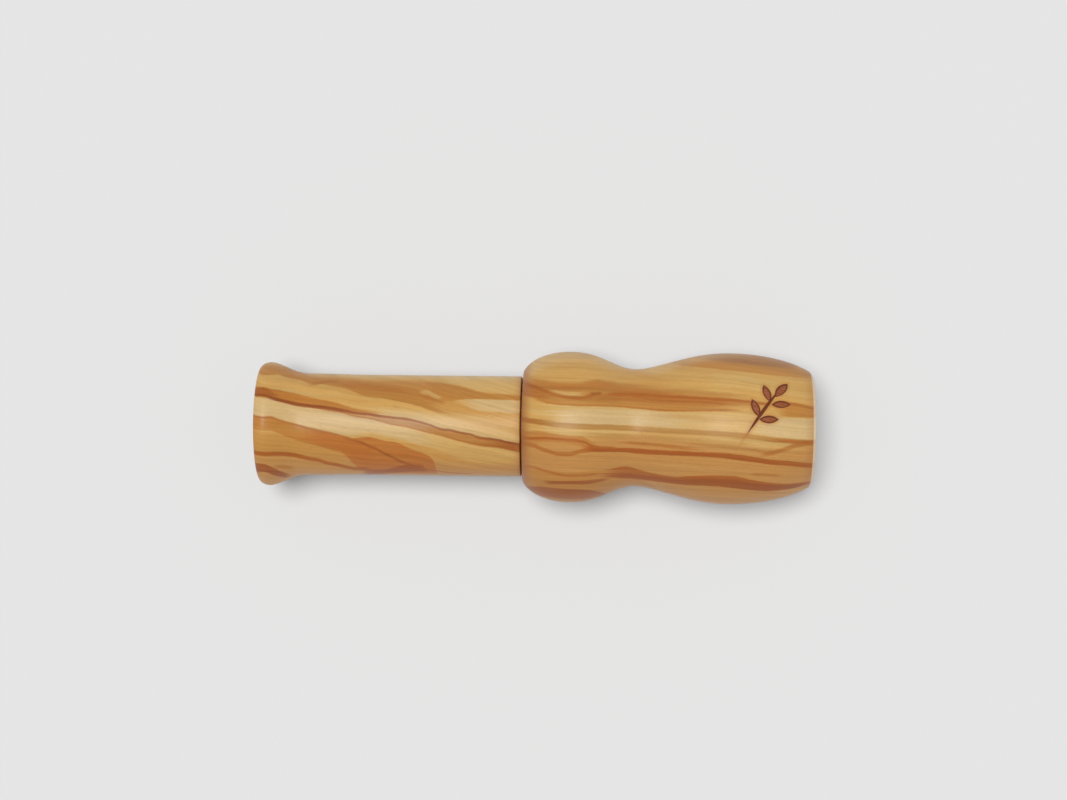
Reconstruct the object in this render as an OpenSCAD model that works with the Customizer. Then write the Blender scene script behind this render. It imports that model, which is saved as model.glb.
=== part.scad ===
// A turned olive wood reed call, lying on its side: +X runs along it from the
// stopper's flared end to the barrel's mouth, and Z = 0 is what it lies on.

/* [Barrel] */
// Length of the barrel, from its joint face to its mouth face
barrel_len = 64.6; // [62:0.2:76]
// Diameter over the bulb beside the joint
bulb_d = 33.8; // [28:0.2:40]
// Distance of the bulb's crown from the joint face
bulb_at = 10.4; // [8:0.2:13]
// Diameter of the waist, where a finger and a lanyard noose sit
waist_d = 26.2; // [22:0.2:28]
// Distance of the waist from the joint face
waist_at = 25.2; // [22:0.2:29]
// Diameter over the belly beside the mouth
belly_d = 33.8; // [28:0.2:40]
// Distance of the belly's crown from the joint face
belly_at = 45.8; // [40:0.2:50]
// Outer diameter of the flat joint face
joint_face_d = 24.8; // [23.4:0.2:28]
// Outer diameter where the belly meets the mouth face
mouth_end_d = 25.0; // [21:0.2:28]
// Radius of the mouth's outer edge
mouth_edge_r = 0.6; // [0.4:0.1:1.2]
// Bore of the socket that takes the tone board
socket_d = 15.9; // [14:0.1:17]
// Bore at the mouth
mouth_bore_d = 13; // [9:0.5:13.5]
// Length of the mouth bore's straight wall
mouth_bore_len = 7.4; // [5:0.2:8]
// Radius of the rounded lip inside the mouth
mouth_lip_r = 1.6; // [0.8:0.1:2.4]

/* [Stopper] */
// Length of the stopper, from its flared end to its shoulder
stopper_len = 58.8; // [50:0.2:70]
// Diameter of the stopper's straight stem
stem_d = 22.5; // [20:0.1:23]
// Distance from the flared end to where the stem is straight
stem_straight_at = 24; // [16:1:30]
// Diameter of the stem where the flare starts
flare_start_d = 22.9; // [20:0.1:24]
// Distance from the flared end to where the flare starts
flare_start_at = 10.5; // [8:0.5:14]
// Diameter over the rim of the flare
rim_d = 27.8; // [27:0.2:32]
// Distance of the rim's crown from the flared end
rim_at = 2.2; // [1.6:0.1:3]
// Outer diameter of the flared end's flat face
rim_face_d = 25.6; // [23:0.1:26.5]
// Radius of the shoulder's outer edge
shoulder_edge_r = 0.3; // [0.2:0.1:0.6]
// Depth of the hole that the tone board is glued into
glue_hole_len = 23; // [18:0.5:28]
// Bore of the air outlet
outlet_d = 12; // [10:0.5:13]
// Diameter of the outlet's mouth, inside the flare
outlet_mouth_d = 19.4; // [16:0.2:21]
// Length over which the outlet opens out
outlet_flare_len = 13; // [8:0.5:18]
// Gap between the stopper's shoulder and the barrel
reveal = 0.4; // [0.3:0.1:1]

/* [Tone board] */
// Bore of the shank, which carries the sound out
shank_bore_d = 8.4; // [6:0.2:9]
// Height of the flat table above the axis
table_h = 0.4; // [0:0.1:0.8]
// Distance of the wedge slot's back wall from the joint face
slot_back_at = 11; // [10:0.2:13]
// Depth of the wedge slot, along the call
slot_len = 9; // [7:0.5:10]
// Height of the slot above the table, at its back wall
slot_back_h = 3.1; // [2.4:0.1:3.6]
// Height of the slot above the table, at its open end
slot_front_h = 4.1; // [3.4:0.1:4.6]
// Distance from the joint face to where the facing starts to fall away
facing_at = 30; // [26:0.5:33]
// Distance of the tone board's tip from the joint face
tip_at = 51.5; // [47:0.5:52]
// Drop of the facing at the tip
facing_drop = 1.9; // [1.2:0.1:2.6]
// Width of the tone channel
channel_w = 5.6; // [4.6:0.2:6.4]
// Depth of the tone channel below the table
channel_deep = 4.4; // [3.6:0.1:4.8]
// Length of solid board between the channel's end and the tip
channel_end_wall = 4; // [3:0.5:6]
// Length of the rounded nose under the tip
nose_len = 7; // [5:0.5:9]
// Diameter of the nose at the tip
nose_d = 11.6; // [10:0.2:13]

/* [Seal rings] */
// Thickness of a seal ring's round section
ring_t = 1.8; // [1.4:0.1:2.2]
// Distance of the rear ring from the joint face
rear_ring_at = 2.9; // [2.5:0.1:3.4]
// Distance of the front ring from the joint face
front_ring_at = 7.7; // [7:0.1:8.2]

/* [Reeds and wedge] */
// Width of both reeds
reed_w = 12.4; // [11:0.2:13]
// Thickness of the lower reed
lower_reed_t = 0.35; // [0.25:0.05:0.4]
// Thickness of the upper reed
upper_reed_t = 0.25; // [0.2:0.05:0.35]
// Distance from the tone board's tip back to the lower reed's tip
lower_reed_short = 1.3; // [0.8:0.1:2]
// Distance from the lower reed's tip back to the upper reed's tip
upper_reed_short = 2; // [1:0.1:3]
// Corner radius of a reed's tip
reed_corner_r = 2.6; // [1.5:0.1:4]
// Height of the dimple that holds the reeds apart
dimple_h = 0.2; // [0.15:0.05:0.3]
// Width of the dimple
dimple_d = 1.8; // [1.4:0.1:2.2]
// Distance from the upper reed's tip back to the dimple
dimple_back = 4.5; // [3:0.5:7]
// Length of wedge that stands out of the slot
wedge_out = 1.3; // [0.8:0.1:2]
// Bevel on the front of the wedge
wedge_bevel = 0.8; // [0.5:0.1:1.2]

/* [Hidden] */

// Radial gap between the tone board's shank and the socket
shank_gap = 0.15;
// Radial gap between a seal ring and the socket, and between it and its groove
ring_gap = 0.03;
// Gap on each side of a seal ring in its groove
ring_side_gap = 0.15;
// Radial gap that the glue fills between the shank and the stopper
glue_gap = 0.05;
// Gap between the reeds' back ends and the slot's back wall
reed_back_gap = 0.3;
// Slit between a reed's held tail and its free tongue
flex_slit = 0.02;
// Gap between the upper reed's dimple and the lower reed
dimple_gap = 0.03;
// Distance of the wedge's sides in from the shank's surface
wedge_inset = 0.4;
// Bevel at the socket's opening
socket_bevel = 0.5;
// Bevel at the glued hole's opening
glue_hole_bevel = 0.3;
// Bevel on the shank's rear end
shank_bevel = 0.6;
// Length by which cuts run past what they cut
overrun = 1;

// Sweep of each round end's ellipse, from its crown, where 90 is a full quarter
bulb_sweep = 76;
belly_sweep = 59;
rim_sweep = 76;
nose_sweep = 53;
// How long each blend keeps to the size that it starts from, with 1 for evenly
bulb_lean_share = 1.2;
belly_lean_share = 0.8;
flare_lean_share = 0.85;
// Angle at which the mouth's outer edge takes over from the belly
mouth_edge_from = 40;

// Steps along one dome or one blend of an outline, and round a small edge
curve_steps = 14;
edge_steps = 5;
// Sides of what is turned round the axis, and of small round parts
turned_sides = 96;
small_sides = 32;

total_len = stopper_len + reveal + barrel_len;
axis_h = (bulb_d + belly_d) / 4;
stopper_x = -total_len / 2;
joint_x = stopper_x + stopper_len + reveal;
shank_d = socket_d - 2 * shank_gap;
ring_mid_r = socket_d / 2 - ring_gap - ring_t / 2;
groove_floor_r = ring_mid_r - ring_t / 2 - ring_gap;
groove_w = ring_t + 2 * ring_side_gap;
shank_rear_at = -(reveal + glue_hole_len);
slot_mouth_at = slot_back_at + slot_len;
reed_back_at = slot_back_at + reed_back_gap;
lower_tip_at = tip_at - lower_reed_short;
upper_tip_at = lower_tip_at - upper_reed_short;
dimple_at = upper_tip_at - dimple_back;
upper_reed_h = table_h + lower_reed_t;
wedge_foot_h = upper_reed_h + upper_reed_t;
wedge_w = 2 * (sqrt(pow(shank_d / 2, 2) - pow(table_h + slot_front_h, 2)) - wedge_inset);
upper_reed_tilt = atan((dimple_h + dimple_gap) / (dimple_at - facing_at));

// Rise of an S-shaped blend at share t of its length
function blend(t, lean_share) = (1 - cos(180 * pow(t, lean_share))) / 2;

// Outline points [radius, place] of a round end, from its crown to its last place
function dome_points(crown_r, crown_at, end_r, end_at, sweep) = [
    for (i = [0 : curve_steps])
        let (a = sweep * i / curve_steps)
        [crown_r + (end_r - crown_r) * (1 - cos(a)) / (1 - cos(sweep)),
         crown_at + (end_at - crown_at) * sin(a) / sin(sweep)]
];

// Outline points of a blend between two places, without its first point
function blend_points(from_r, from_at, to_r, to_at, lean_share) = [
    for (i = [1 : curve_steps])
        let (t = i / curve_steps)
        [from_r + (to_r - from_r) * blend(t, lean_share),
         from_at + (to_at - from_at) * t]
];

// Outline points of an arc about a centre, from one angle to another
function arc_points(mid_r, mid_at, r, from_angle, to_angle) = [
    for (i = [0 : edge_steps])
        let (a = from_angle + (to_angle - from_angle) * i / edge_steps)
        [mid_r + r * cos(a), mid_at + r * sin(a)]
];

function reversed(list) = [for (i = [len(list) - 1 : -1 : 0]) list[i]];

function without_first(list) = [for (i = [1 : len(list) - 1]) list[i]];

// Lays what is turned about Z along the call, starting at a place on it
module along_call(x) {
    translate([x, 0, axis_h])
        rotate([0, 90, 0])
            children();
}

// A side outline [place, height above the axis], as wide as the given width
module across_call(width) {
    translate([joint_x, width / 2, axis_h])
        rotate([90, 0, 0])
            linear_extrude(height = width)
                children();
}

// The barrel's outside, from the joint face to the mouth face
function barrel_outside() =
    let (bulb = dome_points(bulb_d / 2, bulb_at, joint_face_d / 2, 0, bulb_sweep),
         belly = dome_points(belly_d / 2, belly_at, mouth_end_d / 2, barrel_len,
                             belly_sweep),
         edge_at = barrel_len - mouth_edge_r)
    concat(
        reversed(bulb),
        blend_points(bulb_d / 2, bulb_at, waist_d / 2, waist_at, bulb_lean_share),
        blend_points(waist_d / 2, waist_at, belly_d / 2, belly_at, belly_lean_share),
        [for (p = without_first(belly)) if (p[1] < edge_at) p],
        arc_points(mouth_end_d / 2 - mouth_edge_r, edge_at, mouth_edge_r,
                   mouth_edge_from, 90)
    );

// The barrel's inside, from the mouth back to the joint face
function barrel_inside() =
    let (lip_at = barrel_len - mouth_lip_r,
         step_at = lip_at - mouth_bore_len)
    concat(
        arc_points(mouth_bore_d / 2 + mouth_lip_r, lip_at, mouth_lip_r, 90, 180),
        [[mouth_bore_d / 2, step_at],
         [socket_d / 2, step_at],
         [socket_d / 2, socket_bevel],
         [socket_d / 2 + socket_bevel, 0]]
    );

module barrel() {
    color("peru")
        along_call(joint_x)
            rotate_extrude($fn = turned_sides)
                polygon(concat(barrel_outside(), barrel_inside()));
}

// The stopper's outside, from the flared end to the shoulder
function stopper_outside() =
    let (rim = dome_points(rim_d / 2, rim_at, rim_face_d / 2, 0, rim_sweep),
         edge_at = stopper_len - shoulder_edge_r)
    concat(
        reversed(rim),
        blend_points(rim_d / 2, rim_at, flare_start_d / 2, flare_start_at,
                     flare_lean_share),
        blend_points(flare_start_d / 2, flare_start_at, stem_d / 2, stem_straight_at, 1),
        arc_points(stem_d / 2 - shoulder_edge_r, edge_at, shoulder_edge_r, 0, 90)
    );

// The stopper's inside, from the shoulder back to the flared end
function stopper_inside() =
    let (hole_r = shank_d / 2 + glue_gap,
         floor_at = stopper_len - glue_hole_len)
    concat(
        [[hole_r + glue_hole_bevel, stopper_len],
         [hole_r, stopper_len - glue_hole_bevel],
         [hole_r, floor_at],
         [outlet_d / 2, floor_at]],
        [for (i = [0 : curve_steps])
            let (t = i / curve_steps)
            [outlet_d / 2 + (outlet_mouth_d - outlet_d) / 2 * (1 - cos(90 * t)),
             outlet_flare_len * (1 - t)]]
    );

module stopper() {
    color("burlywood")
        along_call(stopper_x)
            rotate_extrude($fn = turned_sides)
                polygon(concat(stopper_outside(), stopper_inside()));
}

// The groove that a seal ring lies in, as outline points
function groove(at) = [
    [shank_d / 2, at - groove_w / 2],
    [groove_floor_r, at - groove_w / 2],
    [groove_floor_r, at + groove_w / 2],
    [shank_d / 2, at + groove_w / 2]
];

// The turned blank of the tone board, before its board is cut
module tone_board_blank() {
    along_call(joint_x)
        rotate_extrude($fn = turned_sides)
            polygon(concat(
                [[0, shank_rear_at],
                 [shank_d / 2 - shank_bevel, shank_rear_at],
                 [shank_d / 2, shank_rear_at + shank_bevel]],
                groove(rear_ring_at),
                groove(front_ring_at),
                dome_points(shank_d / 2, tip_at - nose_len, nose_d / 2, tip_at,
                            nose_sweep),
                [[0, tip_at]]
            ));
}

// Height of the facing above the axis at a place along it
function facing_h(at) =
    table_h - facing_drop * pow((at - facing_at) / (tip_at - facing_at), 2);

// All that is cut away above the table, the facing and the wedge slot
module above_the_table() {
    top = shank_d / 2 + overrun;
    past_tip = tip_at + overrun;
    across_call(shank_d + 2 * overrun)
        polygon(concat(
            [[slot_back_at, table_h]],
            [for (i = [0 : curve_steps])
                let (at = facing_at + (past_tip - facing_at) * i / curve_steps)
                [at, facing_h(at)]],
            [[past_tip, top],
             [slot_mouth_at, top],
             [slot_mouth_at, table_h + slot_front_h],
             [slot_back_at, table_h + slot_back_h]]
        ));
}

// The tone channel, as a round-nosed cutter leaves it: a round floor, and a
// round end short of the tip. Behind the slot's back wall it stays under the table
module tone_channel() {
    r = channel_w / 2;
    start_at = slot_back_at - channel_w;
    end_at = tip_at - channel_end_wall - r;
    floor_h = table_h - channel_deep;
    translate([joint_x + start_at, 0, axis_h + floor_h + r])
        rotate([0, 90, 0])
            cylinder(h = end_at - start_at, r = r, $fn = small_sides);
    across_call(channel_w)
        polygon([
            [start_at, floor_h + r],
            [end_at, floor_h + r],
            [end_at, table_h + overrun],
            [slot_back_at, table_h + overrun],
            [slot_back_at, table_h],
            [start_at, table_h]
        ]);
    translate([joint_x + end_at, 0, axis_h + floor_h + r]) {
        sphere(r = r, $fn = small_sides);
        cylinder(h = channel_deep - r + overrun, r = r, $fn = small_sides);
    }
}

// The round hole from the shank's rear end into the channel
module shank_bore() {
    start_at = shank_rear_at - overrun;
    end_at = slot_back_at - channel_w / 2;
    along_call(joint_x + start_at)
        cylinder(h = end_at - start_at, d = shank_bore_d, $fn = turned_sides);
}

module tone_board() {
    color("sienna")
        difference() {
            tone_board_blank();
            above_the_table();
            tone_channel();
            shank_bore();
        }
}

module seal_ring(at) {
    color("dimgray")
        along_call(joint_x + at)
            rotate_extrude($fn = turned_sides)
                translate([ring_mid_r, 0])
                    circle(d = ring_t, $fn = small_sides);
}

module rear_seal_ring() {
    seal_ring(rear_ring_at);
}

module front_seal_ring() {
    seal_ring(front_ring_at);
}

// The held end of a reed, from its back end to where the facing starts
module reed_tail(h, t) {
    color("lightsteelblue")
        translate([joint_x + reed_back_at, -reed_w / 2, axis_h + h])
            cube([facing_at - flex_slit - reed_back_at, reed_w, t]);
}

// The free end of a reed seen from above, from the facing's start to its tip
module reed_plan(tip) {
    corner_at = tip - reed_corner_r;
    corner_y = reed_w / 2 - reed_corner_r;
    polygon(concat(
        [[0, -reed_w / 2]],
        arc_points(corner_at, -corner_y, reed_corner_r, -90, 0),
        arc_points(corner_at, corner_y, reed_corner_r, 0, 90),
        [[0, reed_w / 2]]
    ));
}

module reed_tongue(h, t, tip, tilt) {
    translate([joint_x + facing_at, 0, axis_h + h])
        rotate([0, -tilt, 0])
            linear_extrude(height = t)
                reed_plan(tip - facing_at);
}

module lower_reed_tail() {
    reed_tail(table_h, lower_reed_t);
}

module lower_reed_tongue() {
    color("lightsteelblue")
        reed_tongue(table_h, lower_reed_t, lower_tip_at, 0);
}

module upper_reed_tail() {
    reed_tail(upper_reed_h, upper_reed_t);
}

// The upper reed's tongue stands on its dimple, so it rises a little to its tip
module upper_reed_tongue() {
    dimple_from_fold = (dimple_at - facing_at) / cos(upper_reed_tilt);
    color("lightsteelblue")
        difference() {
            union() {
                reed_tongue(upper_reed_h, upper_reed_t, upper_tip_at, upper_reed_tilt);
                translate([joint_x + facing_at, 0, axis_h + upper_reed_h])
                    rotate([0, -upper_reed_tilt, 0])
                        translate([dimple_from_fold, 0, -dimple_h])
                            cylinder(h = dimple_h + upper_reed_t / 2,
                                     d1 = dimple_d / 2, d2 = dimple_d,
                                     $fn = small_sides);
            }
            translate([joint_x + facing_at, 0, axis_h + upper_reed_h])
                rotate([0, -upper_reed_tilt, 0])
                    translate([dimple_from_fold, 0, upper_reed_t / 2])
                        cylinder(h = upper_reed_t + overrun, d = dimple_d / 2,
                                 $fn = small_sides);
        }
}

// The cork wedge fills the slot over the reeds and stands out in front of it
module cork_wedge() {
    roof_rise = (slot_front_h - slot_back_h) / slot_len;
    back_top = table_h + slot_back_h + roof_rise * reed_back_gap;
    front_top = table_h + slot_front_h;
    front_at = slot_mouth_at + wedge_out;
    color("tan")
        across_call(wedge_w)
            polygon([
                [reed_back_at, wedge_foot_h],
                [front_at - wedge_bevel / 2, wedge_foot_h],
                [front_at, wedge_foot_h + wedge_bevel / 2],
                [front_at, front_top - wedge_bevel],
                [front_at - wedge_bevel, front_top],
                [slot_mouth_at, front_top],
                [reed_back_at, back_top]
            ]);
}

barrel();
stopper();
tone_board();
rear_seal_ring();
front_seal_ring();
lower_reed_tail();
lower_reed_tongue();
upper_reed_tail();
upper_reed_tongue();
cork_wedge();
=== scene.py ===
import logging
import math
from dataclasses import dataclass, field
from enum import Enum
from typing import Any, Callable, Iterable, Sequence

import bmesh
import bpy
from mathutils import Matrix, Vector


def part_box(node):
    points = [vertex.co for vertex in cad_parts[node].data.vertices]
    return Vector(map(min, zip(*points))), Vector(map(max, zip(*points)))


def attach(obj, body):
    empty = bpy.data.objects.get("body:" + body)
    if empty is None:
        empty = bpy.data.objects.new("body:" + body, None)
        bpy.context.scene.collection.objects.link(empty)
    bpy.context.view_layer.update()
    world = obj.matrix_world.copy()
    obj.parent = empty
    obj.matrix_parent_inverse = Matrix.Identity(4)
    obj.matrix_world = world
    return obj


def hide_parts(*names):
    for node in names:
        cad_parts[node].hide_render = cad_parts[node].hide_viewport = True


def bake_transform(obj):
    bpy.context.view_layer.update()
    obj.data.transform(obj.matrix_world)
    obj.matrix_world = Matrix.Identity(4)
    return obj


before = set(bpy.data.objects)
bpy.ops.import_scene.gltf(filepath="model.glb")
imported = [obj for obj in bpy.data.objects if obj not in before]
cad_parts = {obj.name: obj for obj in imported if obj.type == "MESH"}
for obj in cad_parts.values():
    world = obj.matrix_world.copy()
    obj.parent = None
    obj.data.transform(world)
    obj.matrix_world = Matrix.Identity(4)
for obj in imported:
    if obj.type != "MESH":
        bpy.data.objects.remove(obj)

LOG = logging.getLogger("bird_call")
MM = 0.001
Point = tuple[float, float]
Triple = tuple[float, float, float]
Course = tuple[Point, ...]
Colour = tuple[float, float, float, float]


class Body(Enum):
    """The bodies that pieces ride on."""

    BARREL = "barrel"
    RINGS = "seal_rings"
    STOPPER = "stopper"
    LOWER_REED = "lower_reed"
    UPPER_REED = "upper_reed"


class Tone(Enum):
    """The colours of the call's materials, as they look in daylight, from 0 to 255."""

    HONEY = (207, 160, 87)
    AMBER = (197, 141, 67)
    PALE = (211, 172, 105)
    CREAM = (213, 181, 127)
    TAN = (192, 135, 71)
    CINNAMON = (184, 124, 54)
    GINGER = (184, 116, 44)
    COPPER = (184, 108, 42)
    SIENNA = (173, 104, 38)
    RUST = (168, 92, 30)
    BRICK = (154, 80, 26)
    UMBER = (142, 72, 22)
    DRAB = (181, 130, 76)
    OCHRE = (182, 132, 66)
    SMOKE = (158, 108, 64)
    BURNT = (104, 48, 18)
    SINGED = (166, 98, 66)
    BORE = (120, 78, 42)
    # Painted highlight where light catches the mouth's rounded edge.
    EDGE_HIGHLIGHT = (244, 224, 196)
    # Painted shade on the rounded turned ends.
    END_SHADE = (166, 104, 60)
    BOARD_RING = (146, 80, 38)
    BOARD = (180, 110, 58)
    BOARD_PORE = (62, 30, 14)
    RUBBER = (30, 30, 31)
    RUBBER_BLOOM = (52, 52, 53)
    FILM = (219, 225, 224)
    FILM_CLOUD = (227, 231, 229)
    CORK = (176, 128, 82)
    CORK_PALE = (205, 160, 110)
    CORK_SEAM = (120, 76, 42)
    CORK_FLECK = (74, 44, 26)
    GROUND = (230, 230, 230)

    @property
    def colour(self) -> Colour:
        """The tone as a linear colour."""
        return linear(*self.value)


def linear(red: float, green: float, blue: float) -> Colour:
    """Turns a colour written from 0 to 255 into a linear one.

    Args:
        red: The red share.
        green: The green share.
        blue: The blue share.

    Returns:
        The linear colour, with a full alpha.
    """
    def channel(value: float) -> float:
        """One channel, made linear."""
        share = value / 255
        return share / 12.92 if share <= 0.04045 else ((share + 0.055) / 1.055) ** 2.4
    return (channel(red), channel(green), channel(blue), 1.0)


class Value:
    """A shader socket that takes part in Python expressions."""

    def __init__(self, graph: "Graph", socket: bpy.types.NodeSocket) -> None:
        """Keeps the socket and the graph that it belongs to."""
        self.graph = graph
        self.socket = socket

    def __add__(self, other: Any) -> "Value":
        """The sum."""
        return self.graph.maths("ADD", self, other)

    def __sub__(self, other: Any) -> "Value":
        """The difference."""
        return self.graph.maths("SUBTRACT", self, other)

    def __rsub__(self, other: Any) -> "Value":
        """The difference, from a number."""
        return self.graph.maths("SUBTRACT", other, self)

    def __mul__(self, other: Any) -> "Value":
        """The product."""
        return self.graph.maths("MULTIPLY", self, other)

    def __abs__(self) -> "Value":
        """The size without its sign."""
        return self.graph.maths("ABSOLUTE", self)


class Graph:
    """The nodes of one material, made in the order in which they are worked out."""

    def __init__(self, name: str) -> None:
        """Starts an empty material."""
        self.material = bpy.data.materials.new(name)
        self.material.use_nodes = True
        self.tree = self.material.node_tree
        self.tree.nodes.clear()

    @classmethod
    def of_tree(cls, tree: bpy.types.NodeTree) -> "Graph":
        """Empties a node tree that exists, such as the sky's, to fill it anew."""
        made = cls.__new__(cls)
        made.tree = tree
        tree.nodes.clear()
        return made

    def node(self, kind: str, settings: dict[str, Any] | None = None,
             sockets: dict[str | int, Any] | None = None) -> bpy.types.Node:
        """Adds a node, sets it up, and then fills its sockets.

        Args:
            kind: The node's type.
            settings: Its settings, by name.
            sockets: What goes into its input sockets, by name or number.

        Returns:
            The node.
        """
        made = self.tree.nodes.new(kind)
        for key, setting in (settings or {}).items():
            setattr(made, key, setting)
        for key, content in (sockets or {}).items():
            if isinstance(content, Value):
                self.tree.links.new(content.socket, made.inputs[key])
            else:
                made.inputs[key].default_value = content
        return made

    def value(self, node: bpy.types.Node, output: str | int = 0) -> Value:
        """One of a node's outputs, for expressions."""
        return Value(self, node.outputs[output])

    def maths(self, operation: str, *values: Any) -> Value:
        """Adds a Math node."""
        return self.value(self.node("ShaderNodeMath", {"operation": operation},
                                    dict(enumerate(values))))

    def curve(self, points: Sequence[Point], along: Value) -> Value:
        """The height of a curve through points, without overshoot, at a place along it."""
        made = self.node("ShaderNodeFloatCurve", None, {"Value": along})
        mapping = made.mapping
        mapping.use_clip = False
        mapping.extend = "HORIZONTAL"
        line = mapping.curves[0]
        line.points[0].location = points[0]
        line.points[1].location = points[-1]
        for at, height in points[1:-1]:
            line.points.new(at, height)
        for point in line.points:
            point.handle_type = "AUTO_CLAMPED"
        mapping.update()
        return self.value(made)

    def rise(self, amount: Value, low: Any, high: Any) -> Value:
        """A smooth step from 0 at low to 1 at high."""
        return self.value(self.node(
            "ShaderNodeMapRange", {"interpolation_type": "SMOOTHSTEP"},
            {"Value": amount, "From Min": low, "From Max": high}))

    def mix(self, share: Any, under: Any, over: Any) -> Value:
        """A colour between two others."""
        return self.value(self.node(
            "ShaderNodeMix", {"data_type": "RGBA"}, {0: share, 6: under, 7: over}), 2)

    def noise(self, vector: Value, scale: float = 1.0, detail: float = 2.0) -> Value:
        """Soft noise from 0 to 1."""
        return self.value(self.node(
            "ShaderNodeTexNoise", {"noise_dimensions": "3D"},
            {"Vector": vector, "Scale": scale, "Detail": detail, "Roughness": 0.55}))

    def grain(self, at: tuple[Value, Value, Value], waves: Triple, detail: float) -> Value:
        """Drawn-out noise from 0 to 1.

        Args:
            at: The three parts of the place.
            waves: Waves per millimetre along each part. Zero leaves a part out.
            detail: Number of finer layers.

        Returns:
            The noise.
        """
        parts = [part * wave if wave else 0.0 for part, wave in zip(at, waves)]
        return self.noise(self.vector(*parts), detail=detail)

    def shade(self, colour: Value, share: Value, dark: float, light: float) -> Value:
        """Makes a colour darker or lighter along a share from 0 to 1."""
        return self.value(self.node("ShaderNodeVectorMath", {"operation": "SCALE"},
                                    {0: colour, "Scale": share * (light - dark) + dark}))

    def vector(self, x: Any, y: Any, z: Any) -> Value:
        """A vector of three values."""
        return self.value(self.node("ShaderNodeCombineXYZ", None, {0: x, 1: y, 2: z}))

    def place(self, offset: Triple = (0.0, 0.0, 0.0)) -> tuple[Value, Value, Value, Value]:
        """The shaded point on the piece, in millimetres.

        Args:
            offset: What is added to the place, in millimetres.

        Returns:
            The point as a vector, and its three parts.
        """
        where = self.node("ShaderNodeTexCoord")
        moved = self.value(self.node(
            "ShaderNodeMapping", {"vector_type": "POINT"},
            {"Vector": self.value(where, "Object"), "Location": offset,
             "Scale": (1 / MM, 1 / MM, 1 / MM)}))
        parts = self.node("ShaderNodeSeparateXYZ", None, {0: moved})
        return moved, self.value(parts, 0), self.value(parts, 1), self.value(parts, 2)

    def finish(self, uniform: dict[str, Any], varying: dict[str, Value],
               height: Value | None = None, depth: float = 0.0) -> bpy.types.Material:
        """Closes the material with its surface shader.

        Args:
            uniform: The shader's settings that are the same all over.
            varying: The shader's sockets that change over the surface.
            height: The height of the surface's relief, from 0 to 1.
            depth: The relief's depth in millimetres.

        Returns:
            The material.
        """
        sockets: dict[str | int, Any] = {**uniform, **varying}
        if height is not None:
            bump = self.node("ShaderNodeBump", None,
                             {"Height": height, "Distance": depth * MM, "Strength": 1.0})
            sockets["Normal"] = self.value(bump)
        surface = self.node("ShaderNodeBsdfPrincipled", None, sockets)
        self.node("ShaderNodeOutputMaterial", None, {0: self.value(surface)})
        return self.material


def stretch(course: Course, first: float, last: float) -> Course:
    """The points of a course from one place along the call to another."""
    return tuple(point for point in course if first <= point[0] <= last)


@dataclass(frozen=True)
class Band:
    """A band of the wood's figure, or of painted reflection, between two courses that are seen from above.
    """

    tone: Tone
    low: Course
    high: Course
    soft: Point = (0.4, 0.4)
    strength: float = 0.9
    ends: Point | None = None
    taper: float = 3.0


@dataclass(frozen=True)
class Line:
    """A thin vein of the wood's figure, along one course that is seen from above."""

    tone: Tone
    course: Course
    width: float = 0.4
    soft: float = 0.25
    strength: float = 0.9
    ends: Point | None = None
    taper: float = 2.0


@dataclass(frozen=True)
class EndLight:
    """Painted shade or highlight at a turned end, from one place along the call to the next."""

    tone: Tone
    first: float
    last: float
    share: float
    beyond_r: float = 0.0


@dataclass(frozen=True)
class Leaf:
    """A pointed leaf of the burned sprig: its middle, half sizes and turn."""

    at: Point
    half: Point
    turn: float

    @property
    def bow(self) -> float:
        """Radius of the two arcs that bound the leaf."""
        return (self.half[0] ** 2 + self.half[1] ** 2) / (2 * self.half[1])


@dataclass(frozen=True)
class Sprig:
    """A generic leafy sprig, burned into the belly, in its own flat millimetres."""

    middle: Point = (50.5, 4.4)
    around_r: float = 16.6
    depth: float = 0.26
    slope_w: float = 0.34
    ends: Point = (44.0, 58.0)
    skin_r: float = 12.0
    leaves: tuple[Leaf, ...] = (
        Leaf((3.6, 5.2), (2.5, 0.95), 56.0),
        Leaf((0.4, 3.9), (2.1, 0.85), 108.0),
        Leaf((3.5, 1.4), (2.1, 0.85), 8.0),
        Leaf((-2.1, 0.2), (2.1, 0.85), 112.0),
        Leaf((0.8, -2.3), (2.1, 0.85), 2.0),
        Leaf((-0.4, -0.3), (6.4, 0.34), 56.0),
    )

    def inside(self, x: Any, turn: Any, root: Callable[[Any], Any],
               larger: Callable[[Any, Any], Any]) -> Any:
        """Distance of a point inside the sprig's outline, below zero outside it.

        Args:
            x: Place along the call, as a number or a shader value.
            turn: Angle from the top of the call, in radians.
            root: The square root of such a value.
            larger: The larger of two such values.

        Returns:
            The distance on the belly, laid out flat, as the same kind of value.
        """
        middle_turn = math.asin(self.middle[1] / self.around_r)
        u, w = x - self.middle[0], (turn - middle_turn) * self.around_r
        best = None
        for leaf in self.leaves:
            cos, sin = math.cos(math.radians(leaf.turn)), math.sin(math.radians(leaf.turn))
            du, dw = u - leaf.at[0], w - leaf.at[1]
            along = du * cos + dw * sin
            lifted = abs(dw * cos - du * sin) + (leaf.bow - leaf.half[1])
            depth = leaf.bow - root(along * along + lifted * lifted)
            best = depth if best is None else larger(best, depth)
        return best

    def depth_at(self, x: float, y: float, z: float) -> float:
        """How far inside the sprig's outline a point is."""
        return self.inside(x, math.atan2(y, z), math.sqrt, max)

    def depth_in(self, graph: Graph, x: Value, y: Value, z: Value) -> Value:
        """The same distance, as shader nodes."""
        return self.inside(x, graph.maths("ARCTAN2", y, z),
                           lambda square: graph.maths("SQRT", square),
                           lambda one, other: graph.maths("MAXIMUM", one, other))


STOPPER_GRAIN: Course = (
    (-62, 6.3), (-56, 5), (-50, 4), (-44, 3.3), (-38, 2.2), (-32, 1.6), (-26, 0.8), (-20, -1),
    (-14, -2.1), (-8, -3.3), (-3, -4.4))

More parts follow.
